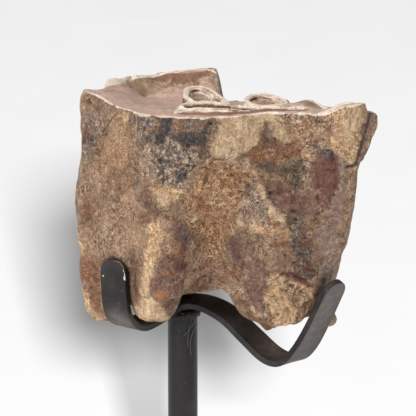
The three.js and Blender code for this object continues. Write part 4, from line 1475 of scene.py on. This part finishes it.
    def _refine(self, tooth: Object) -> None:
        """Turns the solid into even small faces, and halves them on the wall and the grinding surface.

        Args:
            tooth: the piece.
        """
        tooth.data.remesh_voxel_size = self.voxel * MM
        tooth.data.remesh_voxel_adaptivity = 0
        bpy.ops.object.voxel_remesh()
        bpy.ops.object.mode_set(mode="EDIT")
        bpy.ops.mesh.select_mode(type="FACE")
        bpy.ops.mesh.select_all(action="DESELECT")
        bpy.ops.object.mode_set(mode="OBJECT")
        up, front = self.fine_slope
        lowest = SEAT_HEIGHT + self.top_level
        for face in tooth.data.polygons:
            x, y, z = face.center / MM
            ground = face.normal.z > up and z > lowest and x > self.fine_left and y < self.fine_back
            face.select = ground or (face.normal.y < -front and y < self.fine_wall)
        bpy.ops.object.mode_set(mode="EDIT")
        bpy.ops.mesh.subdivide(number_cuts=1)
        bpy.ops.object.mode_set(mode="OBJECT")

    def _neighbours(self, tooth: Object) -> tuple[Array, Array]:
        """The two ends of every edge, and how many neighbours each vertex has.

        Args:
            tooth: the piece.

        Returns:
            (n, 2) vertex numbers, and a count for each vertex.
        """
        ends = np.empty(len(tooth.data.edges) * 2, dtype=np.int64)
        tooth.data.edges.foreach_get("vertices", ends)
        ends = ends.reshape(-1, 2)
        return ends, np.bincount(ends.ravel(), minlength=len(tooth.data.vertices))

    def _averaged(self, points: Array, ends: Array, counts: Array, rounds: int,
                  weight: Array | float = 0.5) -> Array:
        """Draws every point towards the middle of its neighbours.

        Args:
            points: (n, 3) places.
            ends: the edges.
            counts: neighbours of each vertex.
            rounds: how often.
            weight: how far each time, for all or for each point.

        Returns:
            The new places.
        """
        share = np.asarray(weight).reshape(-1, 1) if np.ndim(weight) else weight
        for _ in range(rounds):
            total = np.empty_like(points)
            for axis in range(3):
                total[:, axis] = (np.bincount(ends[:, 0], points[ends[:, 1], axis], len(points))
                                  + np.bincount(ends[:, 1], points[ends[:, 0], axis], len(points)))
            points = points + (total / counts[:, None] - points) * share
        return points

    def _soften(self, tooth: Object, crests: KDTree) -> None:
        """Rounds off the flat facets, and keeps the rim and the enamel rings crisp.

        Args:
            tooth: the piece.
            crests: points along the rims.
        """
        points = coordinates(tooth)
        ends, counts = self._neighbours(tooth)
        near = np.array([crests.find(p)[2] if p[2] > self.crest_height - 2 else FAR_OFF for p in points])
        more = self.full_weight - self.edge_weight
        weight = self.edge_weight + more * smoothstep(near, *self.crest_hold)
        points = self._averaged(points, ends, counts, self.soften_rounds, weight)
        split, _ = nearest_on_line(points[:, (0, 2)], np.array(SPLIT))
        smooth = (1 - smoothstep(split, *self.split_fade)) * (points[:, 1] < self.split_back)
        for middle, reach in self.rubbed_spots:
            smooth = np.maximum(smooth, bell(points, middle, reach))
        place(tooth, self._averaged(points, ends, counts, self.rub_rounds, self.full_weight * smooth))

    def _carve_cheek(self, tooth: Object, calm: Array) -> None:
        """Cuts the strokes and flakes of the cheek wall, along the softened normals.

        Args:
            tooth: the piece.
            calm: the softened normals.
        """
        points = coordinates(tooth)
        facing = smoothstep(-calm[:, 1], *FRONT)
        wall = points[:, (0, 2)] + wander(points, *self.wall_sway, Seed.WALL)
        rise = np.zeros(len(points))
        for stroke in STROKES:
            away, _ = nearest_on_line(wall, np.array(stroke.line))
            rise += stroke.rise * np.exp(-(away / stroke.reach) ** 2)
        for flake in FLAKES:
            outline = np.array(flake.outline)
            share = smoothstep(depth_in(wall, outline), *self.flake_edge)
            rise += share * (flake.rise + flake.rough * lattice_noise(points, self.flake_grain, Seed.FLAKE))
        place(tooth, points + calm * (rise * facing)[:, None])

    def _carve_crown(self, tooth: Object, calm: Array, crests: KDTree) -> Array:
        """Raises the enamel of the grinding surface and sinks its pits.

        Args:
            tooth: the piece.
            calm: the softened normals.
            crests: points along the rims.

        Returns:
            Millimetres from each vertex to the nearest enamel, negative within it.
        """
        points = coordinates(tooth)
        top = smoothstep(calm[:, 2], *self.top_facing)
        top *= smoothstep(points[:, 2], self.top_level - 1, self.top_level)
        plan = points[:, :2]
        signed = np.full(len(points), FAR_OFF)
        for corners in ENAMEL_RINGS:
            outline = rounded(corners)
            away, thick = nearest_on_line(plan, outline, closed=True)
            within = inside(plan, outline)
            signed = np.minimum(signed, np.where(within, np.maximum(-away, away - thick), away))
        for corners in ENAMEL_BANDS:
            away, half = nearest_on_line(plan, np.array(corners))
            signed = np.minimum(signed, away - half)
        raised = 1 - smoothstep(signed, -self.band_edge, self.band_edge)
        points[:, 2] += self.enamel_rise * raised * top
        for pit in PITS:
            points[:, 2] -= pit.depth * np.exp(-oval(plan, pit.at, pit.half, pit.turn) ** 2) * top
        place(tooth, points)
        rim = np.array([crests.find(p)[2] if p[2] > self.top_level else FAR_OFF for p in points])
        size, uneven = self.rim_uneven
        rim -= self.rim_half * (1 + uneven * lattice_noise(points, size, Seed.RIM))
        return np.minimum(np.where(top > self.top_least, signed, FAR_OFF), rim)

    def _roughen(self, tooth: Object, calm: Array) -> None:
        """Adds lumps, growth lines and pits everywhere but on the polished surface.

        Args:
            tooth: the piece.
            calm: the softened normals.
        """
        points = coordinates(tooth)
        calmer = 1 - np.maximum(
            self.worn_calm * self._wear(points, calm), self.inner_calm * self._inner(points, calm))
        rise = np.zeros(len(points))
        for number, (size, height) in enumerate(self.lumps):
            rise += height * lattice_noise(points, size, Seed.LUMP + number)
        across, along, height = self.streak
        rise += height * lattice_noise(points, (across, across, along), Seed.STREAK)
        for number, (size, depth, start, end) in enumerate(self.pocks):
            rise -= depth * smoothstep(lattice_noise(points, size, Seed.POCK + number), start, end)
        rise *= calmer
        for middle, reach, height in self.bulges:
            rise += height * bell(points, middle, reach)
        place(tooth, points + calm * rise[:, None])

    def _wear(self, points: Array, calm: Array) -> Array:
        """How far each vertex belongs to the polished grinding surface, from 0 to 1.

        Args:
            points: the vertices.
            calm: the softened normals.

        Returns:
            One value for each vertex.
        """
        outline = rounded(WEAR_OUTLINE)
        size, reach = self.wear_sway
        plan = points[:, :2] + reach * lattice_noise(points, size, Seed.WEAR)[:, None]
        upward = smoothstep(calm[:, 2], *self.wear_facing)
        upward *= smoothstep(points[:, 2], self.top_level, self.top_level + self.wear_rise)
        matted = 1 - self.matted_loss * smoothstep(points[:, 1], *self.matted_from)
        return smoothstep(depth_in(plan, outline), *self.wear_edge) * upward * matted

    def _inner(self, points: Array, calm: Array) -> Array:
        """How far each vertex belongs to an inner face of the crown, from 0 to 1.

        Args:
            points: the vertices.
            calm: the softened normals.

        Returns:
            One value for each vertex.
        """
        facing = smoothstep(-calm[:, 1], *FRONT) * (1 - smoothstep(calm[:, 2], *self.upright))
        deep = smoothstep(points[:, 1], *self.inner_from)
        return facing * deep * smoothstep(points[:, 2], *self.inner_height)

    def _stained(self, plan: Array, zones: tuple) -> Array:
        """Adds up soft-edged patches on a plane.

        Args:
            plan: (n, 2) places.
            zones: the patches.

        Returns:
            The share covered at each place.
        """
        bare = np.ones(len(plan))
        for x, y, half_x, half_y, turn, share in zones:
            bare *= 1 - share * np.exp(
                -self.oval_fade * oval(plan, (x, y), (half_x, half_y), turn) ** self.oval_power)
        return 1 - bare

    def _outlined(self, plan: Array, zones: tuple, shade: Array) -> Array:
        """Lays outlined patches on the wall, each fading out over its edge.

        Args:
            plan: (n, 2) places as the camera sees them.
            zones: the patches, with their corners in pixels.
            shade: how light the surface is at each place, changed to the patches' own where they lie.

        Returns:
            The share covered at each place: half of a patch's share on its outline.
        """
        covered = np.zeros(len(plan))
        fade = self.stain_fade
        for share, light, corners in zones:
            outline = rounded(corners, 3) * VIEW.pixel()
            lowest, highest = outline.min(axis=0) - fade, outline.max(axis=0) + fade
            near = np.flatnonzero(((plan > lowest) & (plan < highest)).all(axis=1))
            cover = np.clip(0.5 + depth_in(plan[near], outline) / fade / 2, 0, 1)
            covered[near] = np.maximum(covered[near], cover * share)
            shade[near] += (light - shade[near]) * cover
        return covered

    def _banded(self, below: Array, band: Triple | None) -> Array:
        """A band of stain under the rim: its share between two distances from the rim, and 0 for no band.

        Args:
            below: the distance of each vertex from the rim.
            band: its share, start and end.

        Returns:
            The share covered at each vertex.
        """
        if band is None:
            return np.zeros(len(below))
        share, start, end = band
        fade_in, fade_out = self.band_fade
        return (share * smoothstep(below, start, start + fade_in)
                * (1 - smoothstep(below, end, end + fade_out)))

    def _cracked(self, plan: Array) -> tuple[Array, Array]:
        """Signed distance to the nearest narrow crack, and 1 near one.

        Args:
            plan: (n, 2) places on the wall.

        Returns:
            The distance in half widths, positive on one side of the crack, and the nearness from 0 to 1.
        """
        nearest = np.full(len(plan), FAR_OFF)
        signed = nearest.copy()
        for half, corners in HAIRS:
            away, side = side_of_line(plan, np.array(corners))
            signed = np.where(away < nearest, away * side / half, signed)
            nearest = np.minimum(nearest, away)
        return signed, 1 - smoothstep(nearest, *self.hair_fade)

    def _mark(self, tooth: Object, calm: Array, signed: Array) -> None:
        """Stores the masks that the finish reads.

        Args:
            tooth: the piece.
            calm: the softened normals.
            signed: millimetres to the nearest enamel.
        """
        points = coordinates(tooth)
        wear = self._wear(points, calm)
        upward = smoothstep(calm[:, 2], *self.upright) * smoothstep(points[:, 2], *self.crown_height)
        cheek = smoothstep(-calm[:, 1], *FRONT) * (1 - upward)
        inner = self._inner(points, calm)
        cheek = cheek - inner
        away = (1 - cheek) * (1 - upward) - inner
        under = smoothstep(-calm[:, 2], *self.under_facing)
        wall = VIEW.seen(points) + wander(points, *self.view_sway, Seed.VIEW)
        shade = np.ones(len(points))
        self._outlined(wall, CHEEK_GROUND_AND_SHADE, shade)
        for number, stain in enumerate(Stain):
            spread = np.full(len(points), ELSEWHERE[stain])
            for seed, size, height in self.spreads:
                spread += height * lattice_noise(points, size, seed + number)
            if stain is Stain.BONE:
                spread += self.under_bone * under
            mask = away * np.clip(spread, 0, 1)
            mask += inner * self._banded(signed, INNER_STAINS.get(stain))
            mask += cheek * self._outlined(wall, CHEEK_STAINS.get(stain, ()), shade)
            mask += upward * self._stained(points[:, :2], CROWN_STAINS.get(stain, ()))
            write_mask(tooth, stain.value, mask)
        ends, counts = self._neighbours(tooth)
        now = normals(tooth)
        shallow, deep = (
            np.einsum("ij,ij->i", self._averaged(points, ends, counts, rounds) - points, now)
            for rounds in self.hollow_rounds)
        hollow = smoothstep(shallow, *self.shallow_span) + smoothstep(deep, *self.deep_span)
        crest = smoothstep(-shallow, *self.crest_span) * (1 - wear)
        worn = np.maximum(wear, self.inner_wear * inner)
        write_mask(tooth, Mask.SHADE.value, 1 + (shade - 1) * cheek + self.inner_light * inner)
        # Hollows are darkened for sediment and as painted shade, less where the surface is worn.
        write_mask(tooth, Mask.DIRT_AND_SHADE.value, np.clip(hollow, 0, 1) * (1 - self.worn_clean * worn))
        write_mask(tooth, Mask.POLISH.value, crest)
        write_mask(tooth, Mask.WEAR.value, worn)
        write_mask(tooth, Mask.ENAMEL.value, signed)
        crack, near = self._cracked(points[:, (0, 2)])
        write_mask(tooth, Mask.HAIR.value, crack)
        write_mask(tooth, Mask.HAIR_NEAR.value, near * cheek)


# Chips and scratches in the strap's paint: reach, depth and (x, y, height) corners.
CHIPS = (
    (0.32, 0.62, ((-14.6, -10.4, 10.9), (-13.4, -10.6, 10.7), (-12.7, -11.0, 10.2), (-12.3, -11.4, 9.6))),
    (0.3, 0.6, ((-12.3, -11.4, 9.6), (-12.1, -11.9, 8.7), (-11.9, -11.9, 7.7))),
    (0.42, 0.75, ((-12.1, -11.8, 7.4), (-12.0, -11.8, 7.1))),
    (0.4, 0.75, ((-16.6, -8.7, 6.8), (-16.5, -8.8, 6.6))),
    (0.2, 0.6, ((-15.3, -9.5, 6.7), (-15.2, -9.5, 6.7))),
    (0.2, 0.58, ((-14.5, -10.0, 6.8), (-14.4, -10.0, 6.8))),
    (0.2, 0.6, ((-13.7, -10.6, 6.9), (-13.6, -10.6, 6.9))),
    (0.2, 0.55, ((-14.7, -9.3, 1.7), (-14.6, -9.4, 1.6))),
    (0.16, 0.5, ((-11.9, -11.9, 5.8), (-11.8, -11.6, 2.0), (-11.7, -10.9, -1.6))),
    (0.22, 0.55, ((27.9, -20.2, 6.2), (28.0, -20.1, 5.4))),
)

# Where the strap is painted lighter in the dust colour: share, reach and (x, y, height). The two spots on
# the hook's lower bend are painted bounce light from the floor; the third lightens the strap under the
# tooth, right of the rod.
DUST_AND_BOUNCE_LIGHT_SPOTS = (
    (0.3, 2.6, (-13.6, -8.6, -2.8)), (0.16, 2.2, (-11.2, -10.4, -3.4)), (0.3, 4.5, (20.0, -8.6, -9.2)),
)

# Painted sheen: where the outer face of the strap's long arm is painted lighter in the dust colour, in the
# same form, and the way that face faces.
ARM_PAINTED_SHEEN = (
    (0.3, 5.2, (31.6, -19.0, 7.5)), (0.27, 5.0, (28.0, -19.2, 1.0)), (0.27, 5.0, (25.0, -17.2, -5.5)),
)
ARM_FACING = (0.63, -0.7, -0.35)

# Strands of cobweb between the rod and the strap: (x, y, height) of an end, of the corner that the strand
# bends round, and of the other end.
STRANDS = (
    ((-1.7, -2.9, -2.3), (1.6, -3.4, -3.0), (5.2, -1.3, -1.9)),
    ((-0.4, -3.7, -3.2), (2.2, -3.3, -3.9), (4.6, -1.3, -2.0)),
    ((1.1, -3.3, -10.8), (0.9, -3.5, -6.0), (2.9, -2.4, -3.2)),
    ((0.3, -3.4, -8.3), (2.6, -3.3, -6.4), (3.3, -1.9, -3.0)),
    ((1.8, -3.0, -12.9), (1.0, -3.6, -8.4), (3.5, -1.4, -6.2)),
)


@dataclass
class Stand:
    """The display stand: plate, rod, weld beads and the bent cradle strap, all welded into one."""

    paint: PaintedSteelFinish = field(default_factory=PaintedSteelFinish)
    weld: WeldFinish = field(default_factory=WeldFinish)
    plate_side: float = 76.0
    plate_thickness: float = 6.0
    plate_corner: float = 3.0
    plate_bevel: float = 0.8
    rod_diameter: float = 6.35
    rod_top: float = 81.2
    rod_bevel: float = 0.25
    rod_sides: int = 72
    rod_dust: float = 0.03
    strap_bevel: float = 0.22
    strap_dust: float = 0.06
    hard_edge: float = math.radians(60)
    strap_edge: float = math.radians(50)
    soft_edge: float = math.radians(35)
    cradle_bead_drop: float = 4.2
    cradle_bead_slope: float = 0.1
    bead_radius: float = 0.95
    bead_ripples: int = 17
    bead_sides: tuple[int, int] = (136, 20)
    bead_dip: float = 0.14
    bead_lean: float = 0.5
    bead_width: float = 0.86
    bead_swell: Pair = (2.4, 0.16)
    bead_grain: Pair = (0.7, 0.06)
    bead_height: float = 1.25
    chip_core: float = 0.3
    dust_facing: Pair = (0.3, 0.9)
    arm_span: Pair = (0.7, 0.95)
    rod_dust_span: Pair = (-40.0, -20.0)

    def build(self) -> list[Object]:
        """Builds and dresses every piece of the stand.

        Returns:
            The pieces.
        """
        paint, weld = self.paint.material(), self.weld.material()
        plate = self._plate()
        finish_piece(plate, paint, Slot.STEEL, "base_plate")
        rod = self._rod()
        finish_piece(rod, paint, Slot.STEEL, "post")
        strap = self._strap()
        finish_piece(strap, paint, Slot.STEEL, "cradle_strap")
        foot = self._bead("foot_weld_bead", self.plate_thickness, 0.0, 1)
        finish_piece(foot, paint, Slot.STEEL)
        head = self._bead("cradle_weld_bead", SEAT_HEIGHT - self.cradle_bead_drop, self.cradle_bead_slope, 2)
        finish_piece(head, weld, Slot.STEEL)
        return [plate, rod, strap, foot, head]

    def _plate(self) -> Object:
        """A flat square plate with rounded corners and eased edges.

        Returns:
            The plate.
        """
        half = self.plate_thickness / 2
        bpy.ops.mesh.primitive_cube_add(size=1, location=(0, 0, half * MM))
        plate = bpy.context.object
        plate.name = "steel_base_plate"
        plate.scale = (self.plate_side * MM, self.plate_side * MM, self.plate_thickness * MM)
        bpy.ops.object.transform_apply(location=True, rotation=True, scale=True)
        for edge in plate.data.edges:
            a, b = (plate.data.vertices[v].co for v in edge.vertices)
            edge.select = abs(a.z - b.z) > half * MM
        bpy.ops.object.mode_set(mode="EDIT")
        bpy.ops.mesh.select_mode(type="EDGE")
        bpy.ops.mesh.bevel(offset=self.plate_corner * MM, segments=8, affect="EDGES")
        bpy.ops.object.mode_set(mode="OBJECT")
        apply_modifier(plate, "BEVEL", width=self.plate_bevel * MM, segments=4, limit_method="ANGLE",
                       angle_limit=self.hard_edge)
        bpy.ops.object.shade_smooth_by_angle(angle=self.soft_edge)
        return plate

    def _rod(self) -> Object:
        """The upright rod, cut off under the strap.

        Returns:
            The rod.
        """
        height = self.rod_top - self.plate_thickness
        middle = self.plate_thickness + height / 2
        bpy.ops.mesh.primitive_cylinder_add(
            vertices=self.rod_sides, radius=self.rod_diameter / 2 * MM, depth=height * MM,
            location=(0, 0, middle * MM))
        rod = bpy.context.object
        rod.name = "steel_rod"
        bpy.ops.object.transform_apply(location=True, rotation=True, scale=True)
        bpy.ops.object.mode_set(mode="EDIT")
        bpy.ops.mesh.select_all(action="SELECT")
        bpy.ops.mesh.bisect(plane_co=(0, 0, middle * MM), plane_no=(0, 0, 1))
        bpy.ops.object.mode_set(mode="OBJECT")
        apply_modifier(rod, "BEVEL", width=self.rod_bevel * MM, segments=3, limit_method="ANGLE",
                       angle_limit=self.hard_edge)
        bpy.ops.object.shade_smooth_by_angle(angle=self.soft_edge)
        points = coordinates(rod)
        dust = self.rod_dust * (1 - smoothstep(points[:, 2], *self.rod_dust_span))
        write_mask(rod, self.paint.dust_and_sheen_mask, dust)
        return rod

    def _strap(self) -> Object:
        """The flat strap, its solid's edges eased and its bends made smooth.

        Returns:
            The strap.
        """
        strap = copy_of_node("cradle_strap", "steel_cradle_strap")
        bpy.ops.object.mode_set(mode="EDIT")
        bpy.ops.mesh.select_all(action="SELECT")
        bpy.ops.mesh.tris_convert_to_quads(face_threshold=self.hard_edge, shape_threshold=self.hard_edge)
        bpy.ops.object.mode_set(mode="OBJECT")
        apply_modifier(strap, "BEVEL", width=self.strap_bevel * MM, segments=2, limit_method="ANGLE",
                       angle_limit=self.strap_edge)
        apply_modifier(strap, "SUBSURF", levels=3, render_levels=3)
        bpy.ops.object.shade_smooth()
        self._weather(strap)
        return strap

    def _weather(self, strap: Object) -> None:
        """Marks where the paint of the strap is chipped, where dust lies on it, and where it is painted
        lighter as a sheen and as bounce light.

        Args:
            strap: the strap.
        """
        points = coordinates(strap)
        now = normals(strap)
        worn = np.zeros(len(points))
        for reach, depth, corners in CHIPS:
            away, _ = nearest_on_line(points, np.array(corners))
            worn = np.maximum(worn, depth * (1 - smoothstep(away, self.chip_core * reach, reach)))
        write_mask(strap, self.paint.chip_mask, worn)
        dust = self.strap_dust * smoothstep(now[:, 2], *self.dust_facing)
        # The long arm's outer face gets a painted sheen and the hook's lower bend painted bounce light, both
        # in the dust mask.
        outer = smoothstep(now @ np.array(ARM_FACING), *self.arm_span)
        for side, spots in ((1.0, DUST_AND_BOUNCE_LIGHT_SPOTS), (outer, ARM_PAINTED_SHEEN)):
            for share, reach, spot in spots:
                dust += side * share * bell(points, spot, reach)
        write_mask(strap, self.paint.dust_and_sheen_mask, dust)

    def _bead(self, name: str, height: float, slope: float, seed: int) -> Object:
        """A weld bead round the rod: overlapping ripples, uneven in width.

        Args:
            name: the piece's name.
            height: its middle, from the table.
            slope: how much it climbs towards +X, per millimetre.
            seed: picks its unevenness.

        Returns:
            The bead.
        """
        bpy.ops.mesh.primitive_torus_add(
            major_segments=self.bead_sides[0], minor_segments=self.bead_sides[1],
            major_radius=self.rod_diameter / 2 * MM, minor_radius=self.bead_radius * MM,
            location=(0, 0, height * MM))
        bead = bpy.context.object
        bead.name = name
        bpy.ops.object.transform_apply(location=True, rotation=True, scale=True)
        points = coordinates(bead)
        turn = np.arctan2(points[:, 1], points[:, 0])
        level = height - SEAT_HEIGHT
        core = np.stack([np.cos(turn), np.sin(turn)], axis=1) * self.rod_diameter / 2
        offset = points - np.column_stack([core, np.full(len(points), level)])
        wave = np.sin(turn * self.bead_ripples / 2 + self.bead_lean * offset[:, 2])
        ripple = 1 - self.bead_dip * np.abs(wave)
        (broad, most), (fine, least) = self.bead_swell, self.bead_grain
        swell = ripple * (self.bead_width + most * lattice_noise(points, broad, seed))
        swell += least * lattice_noise(points, fine, seed)
        points[:, :2] = core + offset[:, :2] * swell[:, None]
        points[:, 2] = level + offset[:, 2] * swell * self.bead_height + slope * points[:, 0]
        if level < -SEAT_HEIGHT / 2:
            points[:, 2] = np.maximum(points[:, 2], level)
        place(bead, points)
        bpy.ops.object.shade_smooth()
        return bead


@dataclass
class Cobweb:
    """A few strands of dusty cobweb at the top of the rod."""

    silk: CobwebFinish = field(default_factory=CobwebFinish)
    radius: float = 0.03
    pieces: int = 12

    def build(self) -> Object:
        """Builds the strands, each a slack curve.

        Returns:
            The cobweb.
        """
        bpy.ops.curve.primitive_bezier_curve_add(location=(0, 0, 0))
        web = bpy.context.object
        web.name = "cobweb_strands"
        web.data.splines.clear()
        for corners in STRANDS:
            first, middle, last = (np.array(corner) for corner in corners)
            share = np.linspace(0, 1, self.pieces + 1)[:, None]
            way = (1 - share) ** 2 * first + 2 * share * (1 - share) * middle + share ** 2 * last
            spline = web.data.splines.new("POLY")
            spline.points.add(self.pieces)
            for point, spot in zip(spline.points, way.tolist()):
                point.co = (spot[0] * MM, spot[1] * MM, (spot[2] + SEAT_HEIGHT) * MM, 1)
        web.data.dimensions = "3D"
        web.data.bevel_depth = self.radius * MM
        web.data.bevel_resolution = 2
        bpy.ops.object.convert(target="MESH")
        bpy.ops.object.shade_smooth()
        finish_piece(web, self.silk.material(), Slot.STEEL)
        return web


@dataclass(frozen=True)
class Light:
    """A square soft light that points at the object: its side, watts, place and what it lights."""

    name: str
    size: float
    power: float
    spot: Triple
    on_floor: bool = False


# One light above and one in front for the object, and a far one for the floor.
LIGHTS = (
    Light("overhead", 900, 5.5, (-100, 120, 1100)),
    Light("front_left", 600, 9.0, (-560, -760, 620)),
    Light("floor_wash", 500, 1050, (396, -5596, 2257), on_floor=True),
)


@dataclass
class Studio:
    """The pale sweep the object stands on, its soft lights and the camera."""

    sweep: SweepFinish = field(default_factory=SweepFinish)
    floor_side: float = 6000.0
    room_strength: float = 0.35
    clip: Pair = (0.01, 20.0)

    def build(self) -> Object:
        """Sets up the floor, the lights and the camera.

        Returns:
            The floor.
        """
        bpy.ops.mesh.primitive_plane_add(size=self.floor_side * MM, location=(0, 0, 0))
        floor = bpy.context.object
        floor.name = "paper_floor"
        floor.data.materials.append(self.sweep.material())
        for light in LIGHTS:
            self._light(light, floor)
        self._room()
        self._camera()
        return floor

    def _light(self, light: Light, floor: Object) -> None:
        """Adds a light, for the floor alone or for everything else.

        Args:
            light: its sizes.
            floor: the floor.
        """
        data = bpy.data.lights.new(light.name, "AREA")
        data.shape = "SQUARE"
        data.size = light.size * MM
        data.energy = light.power
        lamp = bpy.data.objects.new(light.name, data)
        spot = Vector(light.spot)
        lamp.location = spot * MM
        lamp.rotation_euler = (Vector(VIEW.target) - spot).to_track_quat("-Z", "Y").to_euler()
        bpy.context.scene.collection.objects.link(lamp)
        lit = bpy.data.collections.new("lit_by_" + light.name)
        lit.objects.link(floor)
        lit.collection_objects[0].light_linking.link_state = "INCLUDE" if light.on_floor else "EXCLUDE"
        lamp.light_linking.receiver_collection = lit

    def _room(self) -> None:
        """Lights everything evenly and keeps colours as they are."""
        world = bpy.data.worlds.new("studio_room")
        world.use_nodes = True
        back = world.node_tree.nodes["Background"]
        back.inputs["Color"].default_value = (1, 1, 1, 1)
        back.inputs["Strength"].default_value = self.room_strength
        bpy.context.scene.world = world
        bpy.context.scene.view_settings.view_transform = "Standard"

    def _camera(self) -> None:
        """Looks along +Y and a little down, square on to the cheek wall."""
        tilt = VIEW.tilt
        data = bpy.data.cameras.new("camera")
        data.sensor_fit = "HORIZONTAL"
        data.angle = 2 * math.atan(VIEW.width / 2 / VIEW.distance)
        data.clip_start, data.clip_end = self.clip
        camera = bpy.data.objects.new("camera", data)
        back = Vector((0, -math.cos(tilt), math.sin(tilt))) * VIEW.distance
        camera.location = (Vector(VIEW.target) + back) * MM
        camera.rotation_euler = (math.pi / 2 - tilt, 0, 0)
        bpy.context.scene.collection.objects.link(camera)
        bpy.context.scene.camera = camera


def main() -> None:
    """Builds the scene, sub-assembly by sub-assembly."""
    logging.basicConfig(level=logging.INFO, format="%(name)s: %(message)s")
    Studio().build()
    Stand().build()
    Cobweb().build()
    FossilTooth().build()


if __name__ == "__main__":
    main()
